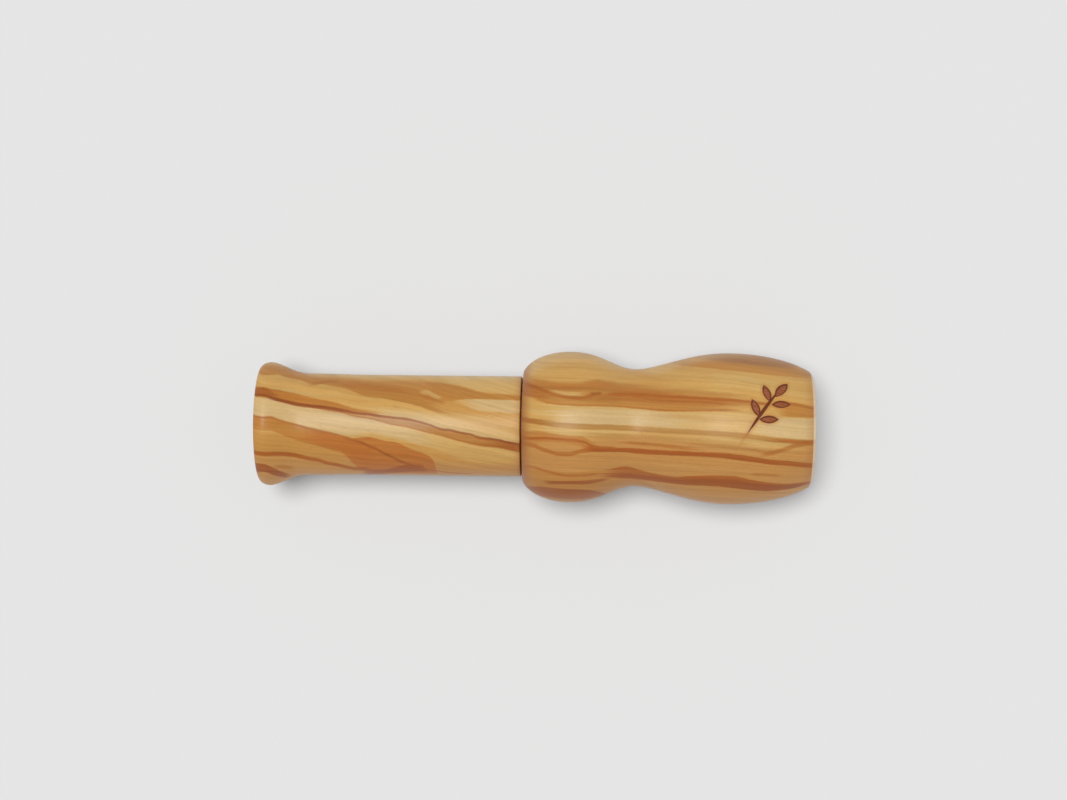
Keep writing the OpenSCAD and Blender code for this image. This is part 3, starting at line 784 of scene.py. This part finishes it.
@dataclass(frozen=True)
class BoardWood:
    """The dense reddish wood of the tone board, sanded and oiled."""

    name: str
    offset: Triple
    relief: float = 0.05

    def make(self) -> bpy.types.Material:
        """Builds the material."""
        graph = Graph(self.name)
        point, x, y, z = graph.place(self.offset)
        drift = graph.grain((x, y, z), (0.05, 0.15, 0.15), 1.0)
        ring = y * 0.5 + z * 1.3 + drift * 5.0
        layers = graph.grain((x, ring, z), (0.03, 0.9, 0.0), 3.0)
        colour = graph.mix(graph.rise(layers, 0.38, 0.62), Tone.BOARD_RING.colour,
                           Tone.BOARD.colour)
        fibre = graph.grain((x, y, z), (0.25, 4.5, 4.5), 3.0)
        colour = graph.shade(colour, graph.rise(fibre, 0.3, 0.7), 0.82, 1.12)
        pits = graph.rise(graph.grain((x, y, z), (0.8, 9.0, 9.0), 1.0), 0.64, 0.74)
        colour = graph.mix(pits * 0.6, colour, Tone.BOARD_PORE.colour)
        rough = graph.noise(point, 0.5, 2.0) * 0.12 + pits * 0.15 + 0.38
        return graph.finish({"Coat Weight": 0.15, "Coat Roughness": 0.35},
                            {"Base Color": colour, "Roughness": rough},
                            fibre * 0.5 - pits * 0.6, self.relief)


@dataclass(frozen=True)
class SealRubber:
    """Matte black rubber, with a little dust and bloom."""

    name: str
    relief: float = 0.02

    def make(self) -> bpy.types.Material:
        """Builds the material."""
        graph = Graph(self.name)
        point = graph.place()[0]
        bloom = graph.noise(point, 0.6, 3.0)
        colour = graph.mix(graph.rise(bloom, 0.4, 0.75), Tone.RUBBER.colour,
                           Tone.RUBBER_BLOOM.colour)
        return graph.finish({"Specular IOR Level": 0.35},
                            {"Base Color": colour, "Roughness": bloom * 0.2 + 0.5},
                            graph.noise(point, 6.0, 2.0), self.relief)


@dataclass(frozen=True)
class ReedFilm:
    """Milky plastic film, with fine drawing lines along the reed."""

    name: str
    offset: Triple
    relief: float = 0.01

    def make(self) -> bpy.types.Material:
        """Builds the material."""
        graph = Graph(self.name)
        point, x, y, z = graph.place(self.offset)
        cloud = graph.noise(point, 0.22, 2.0)
        colour = graph.mix(graph.rise(cloud, 0.35, 0.65), Tone.FILM.colour,
                           Tone.FILM_CLOUD.colour)
        drawn = graph.grain((x, y, z), (0.15, 7.0, 7.0), 2.0)
        return graph.finish({"Specular IOR Level": 0.5},
                            {"Base Color": colour, "Roughness": drawn * 0.16 + 0.24},
                            drawn, self.relief)


@dataclass(frozen=True)
class CorkGrain:
    """Pressed cork: pale granules with dark flecks between them."""

    name: str
    granules: float = 1.5
    relief: float = 0.12

    def cells(self, graph: Graph, point: Value, feature: str) -> bpy.types.Node:
        """The granules, as one feature of a cell pattern."""
        return graph.node("ShaderNodeTexVoronoi", {"feature": feature},
                          {"Vector": point, "Scale": self.granules, "Randomness": 1.0})

    def make(self) -> bpy.types.Material:
        """Builds the material."""
        graph = Graph(self.name)
        point = graph.place()[0]
        tints = graph.value(self.cells(graph, point, "F1"), "Color")
        tint = graph.value(graph.node("ShaderNodeSeparateColor", None, {0: tints}))
        colour = graph.mix(tint, Tone.CORK.colour, Tone.CORK_PALE.colour)
        seams = graph.value(self.cells(graph, point, "DISTANCE_TO_EDGE"), "Distance")
        gap = 1 - graph.rise(seams, 0.02, 0.12)
        colour = graph.mix(gap * 0.45, colour, Tone.CORK_SEAM.colour)
        fleck = graph.rise(graph.noise(point, 2.4, 2.0), 0.62, 0.70)
        colour = graph.mix(fleck * 0.8, colour, Tone.CORK_FLECK.colour)
        fine = graph.noise(point, 8.0, 2.0)
        return graph.finish({"Specular IOR Level": 0.25},
                            {"Base Color": colour, "Roughness": fine * 0.15 + 0.75},
                            fine * 0.4 - fleck * 0.6 - gap * 0.3, self.relief)


def as_object(name: str, shape: bmesh.types.BMesh, material: bpy.types.Material,
              sharp_angle: float = 35.0) -> bpy.types.Object:
    """Turns a finished shape in millimetres into an object in metres.

    Args:
        name: The object's name.
        shape: The shape, which is freed.
        material: Its material.
        sharp_angle: Edges that turn more than this many degrees stay sharp.

    Returns:
        The object, at the origin.
    """
    bmesh.ops.scale(shape, vec=(MM, MM, MM), verts=shape.verts[:])
    mesh = bpy.data.meshes.new(name)
    shape.to_mesh(mesh)
    shape.free()
    mesh.polygons.foreach_set("use_smooth", [True] * len(mesh.polygons))
    mesh.set_sharp_from_angle(angle=math.radians(sharp_angle))
    mesh.materials.append(material)
    made = bpy.data.objects.new(name, mesh)
    bpy.context.scene.collection.objects.link(made)
    return made


def report(piece: bpy.types.Object, body: Body, slot: str) -> None:
    """Rides a piece on its body and logs it, with the name of its slot."""
    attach(piece, body.value)
    LOG.info("%s rides on %s as %s, %d faces", piece.name, body.value, slot,
             len(piece.data.polygons))


def blend(at: float, first: Point, last: Point, lean: float) -> float:
    """Radius of an S-shaped blend between two points of the outline, each a place and radius."""
    share = (at - first[0]) / (last[0] - first[0])
    return first[1] + (last[1] - first[1]) * (1 - math.cos(math.pi * share ** lean)) / 2


def dome(share: float, crown_r: float, end_r: float, sweep: float) -> float:
    """Radius of a round end at a share of the way from its crown to its end."""
    full = math.radians(sweep)
    turned = math.asin(min(1.0, share * math.sin(full)))
    return crown_r + (end_r - crown_r) * (1 - math.cos(turned)) / (1 - math.cos(full))


def arc(x: float, r: float, radius: float, turns: Iterable[float]) -> list[Point]:
    """Points of a round edge about its middle, at angles in degrees from straight out."""
    return [(x + radius * math.sin(math.radians(turn)),
             r + radius * math.cos(math.radians(turn))) for turn in turns]


def spaced(first: float, last: float, step: float) -> list[float]:
    """Evenly spaced places from first to last, about a step apart."""
    count = max(1, round(abs(last - first) / step))
    return [first + (last - first) * i / count for i in range(count + 1)]


@dataclass
class Turned:
    """A piece that is turned round the call's axis."""

    joint_x: float
    axis_h: float

    def spin(self, outline: Sequence[Point], sectors: Iterable[tuple[float, float]],
             start: float) -> bmesh.types.BMesh:
        """Spins an outline round the axis, in sectors of their own fineness.

        Args:
            outline: Points of the closed outline, as place along the call and radius.
            sectors: How far each sector turns, and its step, in degrees.
            start: Angle from the top, towards the back, at which the first one starts.

        Returns:
            The closed shape, around the X axis at height zero.
        """
        shape = bmesh.new()
        corners = [shape.verts.new((x, 0.0, r)) for x, r in outline]
        edges = [shape.edges.new((corners[i - 1], corners[i]))
                 for i in range(len(corners))]
        bmesh.ops.rotate(shape, verts=corners, cent=(0, 0, 0),
                         matrix=Matrix.Rotation(math.radians(-start), 3, "X"))
        last = corners + edges
        for turn, step in sectors:
            made = bmesh.ops.spin(
                shape, geom=last, cent=(0, 0, 0), axis=(1, 0, 0), dvec=(0, 0, 0),
                angle=math.radians(-turn), steps=round(turn / step), use_merge=False,
                use_duplicate=False)
            last = made["geom_last"]
        bmesh.ops.remove_doubles(shape, verts=shape.verts[:], dist=1e-4)
        bmesh.ops.recalc_face_normals(shape, faces=shape.faces[:])
        return shape

    def settle(self, shape: bmesh.types.BMesh) -> None:
        """Lifts a shape from height zero to the call's axis."""
        bmesh.ops.translate(shape, vec=(0, 0, self.axis_h), verts=shape.verts[:])


@dataclass
class Barrel(Turned):
    """The gourd-shaped barrel, with its sizes in millimetres."""

    length: float = 64.6
    bulb_r: float = 16.9
    bulb_at: float = 10.4
    waist_r: float = 13.1
    waist_at: float = 25.2
    belly_r: float = 16.9
    belly_at: float = 45.8
    joint_face_r: float = 12.4
    mouth_end_r: float = 12.5
    mouth_edge_r: float = 0.6
    socket_r: float = 7.95
    bore_r: float = 6.5
    bore_len: float = 7.4
    lip_r: float = 1.6
    bulb_sweep: float = 76.0
    waist_lean: float = 1.2
    belly_lean: float = 0.8
    mouth_sweep: float = 59.0
    before_sprig: Point = (0.9, 47.6)
    along_sprig: Point = (47.75, 58.9)
    after_sprig: float = 59.4
    sectors: tuple[Point, ...] = ((50, 0.5), (310, 2.5))
    start: float = -8.0
    sprig: Sprig = field(default_factory=Sprig)

    def radius_at(self, x: float) -> float:
        """Radius of the barrel's outside at a place along the call."""
        at = max(0.0, min(self.length, x - self.joint_x))
        bulb, waist = (self.bulb_at, self.bulb_r), (self.waist_at, self.waist_r)
        belly = (self.belly_at, self.belly_r)
        if at < self.bulb_at:
            return dome(1 - at / self.bulb_at, self.bulb_r, self.joint_face_r, self.bulb_sweep)
        if at < self.waist_at:
            return blend(at, bulb, waist, self.waist_lean)
        if at < self.belly_at:
            return blend(at, waist, belly, self.belly_lean)
        share = (at - self.belly_at) / (self.length - self.belly_at)
        return dome(share, self.belly_r, self.mouth_end_r, self.mouth_sweep)

    def outline(self) -> list[Point]:
        """The closed outline, from the joint face round the mouth and back."""
        edge_at = self.length - self.mouth_edge_r
        places = ([0.0, 0.12, 0.3, 0.55] + spaced(*self.before_sprig, step=0.75)
                  + spaced(*self.along_sprig, step=0.14)
                  + spaced(self.after_sprig, edge_at - 0.2, step=0.5))
        points = [(self.joint_x + at, self.radius_at(self.joint_x + at)) for at in places]
        points += arc(self.joint_x + edge_at, self.mouth_end_r - self.mouth_edge_r,
                      self.mouth_edge_r, range(40, 91, 10))
        lip_at = self.length - self.lip_r
        points += arc(self.joint_x + lip_at, self.bore_r + self.lip_r, self.lip_r,
                      range(90, 181, 10))
        step_at = lip_at - self.bore_len
        points += [(self.joint_x + at, self.bore_r)
                   for at in spaced(lip_at, step_at, step=1.5)[1:]]
        points += [(self.joint_x + at, self.socket_r)
                   for at in spaced(step_at, 0.5, step=2.5)]
        points.append((self.joint_x, self.socket_r + 0.5))
        return points

    def sink_sprig(self, shape: bmesh.types.BMesh) -> None:
        """Presses the sprig into the belly."""
        sprig = self.sprig
        for corner in shape.verts:
            x, y, z = corner.co
            out = math.hypot(y, z)
            if not sprig.ends[0] < x < sprig.ends[1] or out < sprig.skin_r:
                continue
            inside = sprig.depth_at(x, y, z)
            if inside > 0:
                share = min(1.0, inside / sprig.slope_w)
                keep = 1 - sprig.depth * share * share * (3 - 2 * share) / out
                corner.co = (x, y * keep, z * keep)

    def build(self) -> None:
        """Builds, dresses and reports the barrel."""
        shape = self.spin(self.outline(), self.sectors, self.start)
        self.sink_sprig(shape)
        self.settle(shape)
        end_lights = (
            # Painted shade, with some burnish, darker towards the rounded end at the joint.
            EndLight(Tone.END_SHADE, self.joint_x + 2.6, self.joint_x, share=0.75, beyond_r=12.2),
            # Painted shade, darker where the belly turns in towards the mouth.
            EndLight(Tone.END_SHADE, self.joint_x + 61.5, self.joint_x + 64.0, share=0.3),
            # Painted highlight: a pale line on the mouth's rounded outer edge, where light catches it.
            EndLight(Tone.EDGE_HIGHLIGHT, self.joint_x + 63.9, self.joint_x + 64.1, share=0.6,
                 beyond_r=self.mouth_end_r - 0.35))
        wood = OliveWood("barrel_olive_wood", BARREL_FIGURE_AND_REFLECTION, self.radius_at,
                         offset=(0.0, 0.0, -self.axis_h), bore_r=8.6, grain=BARREL_GRAIN,
                         across=0.25, lean=-0.03, sprig=self.sprig, end_lights=end_lights)
        piece = as_object("barrel_turned", shape, wood.make())
        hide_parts("barrel")
        report(piece, Body.BARREL, "barrel_wood")


@dataclass
class Stopper(Turned):
    """The flared stopper, with its sizes in millimetres."""

    length: float = 58.8
    reveal: float = 0.4
    stem_r: float = 11.25
    stem_at: float = 24.0
    flare_r: float = 11.45
    flare_at: float = 10.5
    rim_r: float = 13.9
    rim_at: float = 2.2
    face_r: float = 12.8
    shoulder_r: float = 0.3
    hole_r: float = 7.85
    hole_len: float = 23.0
    outlet_r: float = 6.0
    outlet_mouth_r: float = 9.7
    outlet_len: float = 13.0
    rim_sweep: float = 76.0
    flare_lean: float = 0.85
    stem_lean: float = 1.0
    step: float = 2.5
    bell_steps: int = 24

    @property
    def end_x(self) -> float:
        """Place of the flared end."""
        return self.joint_x - self.reveal - self.length

    def radius_at(self, x: float) -> float:
        """Radius of the stopper's outside at a place along the call."""
        at = max(0.0, min(self.length, x - self.end_x))
        flare = (self.flare_at, self.flare_r)
        if at < self.rim_at:
            return dome(1 - at / self.rim_at, self.rim_r, self.face_r, self.rim_sweep)
        if at < self.flare_at:
            return blend(at, (self.rim_at, self.rim_r), flare, self.flare_lean)
        if at < self.stem_at:
            return blend(at, flare, (self.stem_at, self.stem_r), self.stem_lean)
        return self.stem_r

    def outline(self) -> list[Point]:
        """The closed outline, from the flared end round the shoulder and back."""
        edge_at = self.length - self.shoulder_r
        places = ([0.0, 0.05, 0.12, 0.22, 0.36, 0.54, 0.76, 1.0, 1.3, 1.6, 1.9]
                  + spaced(self.rim_at, self.flare_at, step=0.42)
                  + spaced(11.0, self.stem_at, step=0.9)
                  + spaced(25.5, edge_at - 0.6, step=1.5))
        points = [(self.end_x + at, self.radius_at(self.end_x + at)) for at in places]
        points += arc(self.end_x + edge_at, self.stem_r - self.shoulder_r, self.shoulder_r,
                      range(0, 91, 15))
        floor_at = self.length - self.hole_len
        points.append((self.end_x + self.length, self.hole_r + 0.3))
        points += [(self.end_x + at, self.hole_r)
                   for at in spaced(self.length - 0.3, floor_at, self.step)]
        points += [(self.end_x + at, self.outlet_r)
                   for at in spaced(floor_at, self.outlet_len + 1.5, self.step)]
        for i in range(self.bell_steps + 1):
            share = i / self.bell_steps
            swell = 1 - math.cos(math.radians(90 * share))
            points.append((self.end_x + self.outlet_len * (1 - share),
                           self.outlet_r + (self.outlet_mouth_r - self.outlet_r) * swell))
        return points

    def build(self) -> None:
        """Builds, dresses and reports the stopper."""
        shape = self.spin(self.outline(), ((360, self.step),), 0)
        self.settle(shape)
        # Painted shade on the rounded shoulder by the joint.
        end_light = EndLight(Tone.END_SHADE, self.joint_x - 2.2, self.joint_x - 0.4, share=0.3)
        wood = OliveWood("stopper_olive_wood", STOPPER_FIGURE_AND_REFLECTION, self.radius_at,
                         offset=(0.0, 0.0, -self.axis_h), bore_r=8.0, grain=STOPPER_GRAIN,
                         across=0.1, lean=-0.18, end_lights=(end_light,))
        piece = as_object("stopper_turned", shape, wood.make())
        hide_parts("stopper")
        report(piece, Body.STOPPER, "stopper_wood")


@dataclass
class ToneBoard:
    """The tone board, which keeps its exact solid."""

    axis_h: float

    def build(self) -> None:
        """Dresses the tone board."""
        wood = BoardWood("tone_board_wood_grain", (0.0, 0.0, -self.axis_h)).make()
        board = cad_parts["tone_board"]
        for slot in board.material_slots:
            slot.material = wood
        LOG.info("tone_board is dressed in %s", wood.name)


@dataclass
class SealRings(Turned):
    """The two rubber rings that hold the shank in the barrel."""

    ring_mid_r: float = 7.02
    section_r: float = 0.9
    seam: float = 0.03
    rear_at: float = 2.9
    front_at: float = 7.7
    corners: int = 32
    step: float = 3.75

    def build(self) -> None:
        """Builds, dresses and reports both rings."""
        rubber = SealRubber("seal_rubber_matte").make()
        for node, at in (("rear_seal_ring", self.rear_at), ("front_seal_ring", self.front_at)):
            section = []
            for i in range(self.corners):
                turn = math.tau * i / self.corners
                r = self.section_r - (self.seam if i % (self.corners // 2) else 0.0)
                section.append((self.joint_x + at + r * math.sin(turn),
                                self.ring_mid_r + r * math.cos(turn)))
            shape = self.spin(section, ((360, self.step),), 0)
            self.settle(shape)
            piece = as_object(node + "_moulded", shape, rubber)
            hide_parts(node)
            report(piece, Body.RINGS, "seal_rubber")


@dataclass
class Reed:
    """One reed: a strip of film from the slot's back to its free tip."""

    name: str
    body: Body
    joint_x: float
    axis_h: float
    height: float
    thickness: float
    tip_at: float
    tilt: float = 0.0
    dimple: float = 0.0
    back_at: float = 11.3
    fold_at: float = 30.0
    half_w: float = 6.2
    corner_r: float = 2.6
    dimple_back: float = 4.5
    dimple_r: float = 0.9
    steps: tuple[int, int] = (170, 48)
    crowding: float = 1.35

    def half_width(self, at: float) -> float:
        """Half the reed's width at a place, round its tip's corners."""
        past = at - (self.tip_at - self.corner_r)
        if past <= 0:
            return self.half_w
        inset = self.corner_r - math.sqrt(max(0.0, self.corner_r ** 2 - past ** 2))
        return self.half_w - inset

    def rise_at(self, at: float, y: float) -> float:
        """Height of the reed's underside above its flat place."""
        lift = max(0.0, at - self.fold_at) * math.tan(math.radians(self.tilt))
        off = math.hypot(at - (self.tip_at - self.dimple_back), y) / self.dimple_r
        if self.dimple and off < 1:
            lift -= self.dimple * (1 + math.cos(math.pi * off)) / 2
        return lift

    def build(self, film: bpy.types.Material) -> None:
        """Builds, dresses and reports the reed.

        Args:
            film: The material of both reeds.
        """
        shape = bmesh.new()
        along, across = self.steps
        bmesh.ops.create_grid(shape, x_segments=along, y_segments=across, size=0.5)
        length = self.tip_at - self.back_at
        for corner in shape.verts:
            share = corner.co.x + 0.5
            at = self.back_at + length * (1 - (1 - share) ** self.crowding)
            corner.co = (at, 2 * corner.co.y * self.half_width(at), 0.0)
        made = bmesh.ops.extrude_face_region(shape, geom=shape.faces[:])
        tops = [part for part in made["geom"] if isinstance(part, bmesh.types.BMVert)]
        bmesh.ops.translate(shape, vec=(0, 0, self.thickness), verts=tops)
        for corner in shape.verts:
            corner.co.z += self.rise_at(corner.co.x, corner.co.y)
        bmesh.ops.translate(shape, vec=(self.joint_x, 0, self.axis_h + self.height),
                            verts=shape.verts[:])
        bmesh.ops.recalc_face_normals(shape, faces=shape.faces[:])
        piece = as_object(self.name + "_strip", shape, film, sharp_angle=50)
        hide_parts(self.name + "_tail", self.name + "_tongue")
        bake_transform(piece)
        LOG.info("%s bends from %s to %s", piece.name, Body.STOPPER.value,
                 self.body.value)


@dataclass
class CorkWedge:
    """The cork wedge that clamps the reeds in the slot."""

    joint_x: float
    axis_h: float
    back_at: float = 11.3
    mouth_at: float = 20.0
    out: float = 1.3
    foot_h: float = 1.0
    back_top: float = 3.5333
    front_top: float = 4.5
    half_w: float = 5.97
    front_cut: float = 0.5
    edge_cut: float = 0.22
    longest: float = 0.8

    def build(self) -> None:
        """Builds, dresses and reports the wedge."""
        shape = bmesh.new()
        front = self.mouth_at + self.out
        side = [(self.back_at, self.foot_h), (front, self.foot_h),
                (front, self.front_top - self.front_cut),
                (front - self.front_cut, self.front_top), (self.mouth_at, self.front_top),
                (self.back_at, self.back_top)]
        corners = [shape.verts.new((at, -self.half_w, h)) for at, h in side]
        made = bmesh.ops.extrude_face_region(shape, geom=[shape.faces.new(corners)])
        moved = [part for part in made["geom"] if isinstance(part, bmesh.types.BMVert)]
        bmesh.ops.translate(shape, vec=(0, 2 * self.half_w, 0), verts=moved)
        bmesh.ops.recalc_face_normals(shape, faces=shape.faces[:])
        bmesh.ops.bevel(shape, geom=shape.edges[:], offset=self.edge_cut, segments=2,
                        affect="EDGES", profile=0.5, material=-1)
        bmesh.ops.triangulate(shape, faces=shape.faces[:])
        long_edges = [edge for edge in shape.edges if edge.calc_length() > self.longest]
        bmesh.ops.subdivide_edges(shape, edges=long_edges, cuts=9, use_grid_fill=True)
        bmesh.ops.recalc_face_normals(shape, faces=shape.faces[:])
        bmesh.ops.translate(shape, vec=(self.joint_x, 0, self.axis_h),
                            verts=shape.verts[:])
        piece = as_object("cork_wedge_pressed", shape, CorkGrain("cork_granules").make())
        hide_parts("cork_wedge")
        report(piece, Body.STOPPER, "cork")


@dataclass
class Studio:
    """The camera, the pale floor and the soft light."""

    camera_at: Triple = (0.0179, 0.0, 0.5319)
    looks_at: Triple = (-0.00053, 0.00596, 0.0169)
    roll: float = 0.64
    lens: float = 77.25
    sensor: float = 36.0
    clip: Point = (0.01, 20.0)
    sky: float = 0.5
    lamp: float = 0.5
    lamp_angle: float = 24.0
    lamp_from: Triple = (-0.07, 0.12, 1.0)
    floor_shade: float = 0.25
    floor_glow: float = 0.13
    floor_half: float = 4000.0
    floor_lamp_from: Triple = (-0.11, 0.08, 1.0)

    def camera(self) -> None:
        """Sets the camera up above the call."""
        data = bpy.data.cameras.new("camera")
        data.lens = self.lens
        data.sensor_width = self.sensor
        data.clip_start, data.clip_end = self.clip
        eye = bpy.data.objects.new("camera", data)
        bpy.context.scene.collection.objects.link(eye)
        back = (Vector(self.camera_at) - Vector(self.looks_at)).normalized()
        turn = math.radians(self.roll)
        right = Vector((-math.sin(turn), math.cos(turn), 0)).cross(back).normalized()
        above = back.cross(right)
        basis = Matrix((right, above, back)).transposed().to_4x4()
        eye.matrix_world = Matrix.Translation(self.camera_at) @ basis
        bpy.context.scene.camera = eye

    @staticmethod
    def seen(graph: Graph) -> Value:
        """One where the camera, a reflection or a clear piece looks, zero elsewhere."""
        rays = graph.node("ShaderNodeLightPath")
        seen = graph.maths("MAXIMUM", graph.value(rays, "Is Camera Ray"),
                           graph.value(rays, "Is Glossy Ray"))
        return graph.maths("MAXIMUM", seen, graph.value(rays, "Is Transmission Ray"))

    def floor(self) -> bpy.types.Object:
        """Lays the pale floor, which keeps a soft shadow.

        Returns:
            The floor.
        """
        shape = bmesh.new()
        bmesh.ops.create_grid(shape, x_segments=4, y_segments=4, size=self.floor_half)
        graph = Graph("pale_floor")
        paper = graph.value(graph.node("ShaderNodeBsdfDiffuse", None,
                                       {"Color": (*[self.floor_shade] * 3, 1.0)}))
        glow = graph.value(graph.node("ShaderNodeEmission", None,
                                      {"Color": Tone.GROUND.colour, "Strength": 1.0}))
        mixed = graph.node("ShaderNodeMixShader", None,
                           {0: self.seen(graph) * self.floor_glow, 1: paper, 2: glow})
        graph.node("ShaderNodeOutputMaterial", None, {0: graph.value(mixed)})
        floor = as_object("floor", shape, graph.material)
        return floor

    def lamp_towards(self, name: str, towards: Triple, level: float) -> bpy.types.Object:
        """Hangs up a broad soft lamp.

        Args:
            name: The lamp's name.
            towards: Where it shines from.
            level: Its share of the light on a flat white surface.

        Returns:
            The lamp.
        """
        data = bpy.data.lights.new(name, "SUN")
        data.energy = level * math.pi
        data.angle = math.radians(self.lamp_angle)
        lamp = bpy.data.objects.new(name, data)
        bpy.context.scene.collection.objects.link(lamp)
        way = Vector(towards).normalized()
        lamp.rotation_euler = way.to_track_quat("Z", "Y").to_euler()
        lamp.location = way
        return lamp

    def light(self, floor: bpy.types.Object) -> None:
        """Lights the call from a pale sky and a broad soft lamp, and the floor from one more.

        Args:
            floor: The floor, which the second lamp alone lights.
        """
        world = bpy.data.worlds.new("sky")
        bpy.context.scene.world = world
        world.use_nodes = True
        sky = Graph.of_tree(world.node_tree)
        pale = Tone.GROUND.colour[0]
        sky.node("ShaderNodeOutputWorld", None, {0: sky.value(sky.node(
            "ShaderNodeBackground", None,
            {"Color": (1.0, 1.0, 1.0, 1.0),
             "Strength": self.seen(sky) * (pale - self.sky) + self.sky}))})
        self.lamp_towards("broad_lamp", self.lamp_from, self.lamp)
        floor_lamp = self.lamp_towards("floor_lamp", self.floor_lamp_from,
                                       pale / self.floor_shade - self.sky - self.lamp)
        lit = bpy.data.collections.new("lit_by_floor_lamp")
        lit.objects.link(floor)
        floor_lamp.light_linking.receiver_collection = lit

    def build(self) -> None:
        """Builds the camera, the floor and the light."""
        self.camera()
        self.light(self.floor())
        bpy.context.scene.view_settings.view_transform = "Standard"
        LOG.info("studio is set up")


def main() -> None:
    """Builds and dresses the call, piece by piece."""
    logging.basicConfig(level=logging.INFO, format="%(name)s: %(message)s")
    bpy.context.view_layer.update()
    low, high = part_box("barrel")
    joint_x, axis_h = low.x / MM, (low.z + high.z) / 2 / MM
    Studio().build()
    Barrel(joint_x, axis_h).build()
    Stopper(joint_x, axis_h).build()
    ToneBoard(axis_h).build()
    SealRings(joint_x, axis_h).build()
    film = ReedFilm("reed_film_milky", (0.0, 0.0, -axis_h)).make()
    Reed("lower_reed", Body.LOWER_REED, joint_x, axis_h, height=0.4, thickness=0.35,
         tip_at=50.2).build(film)
    Reed("upper_reed", Body.UPPER_REED, joint_x, axis_h, height=0.75, thickness=0.25,
         tip_at=48.2, tilt=0.96, dimple=0.2).build(film)
    CorkWedge(joint_x, axis_h).build()


if __name__ == "__main__":
    main()
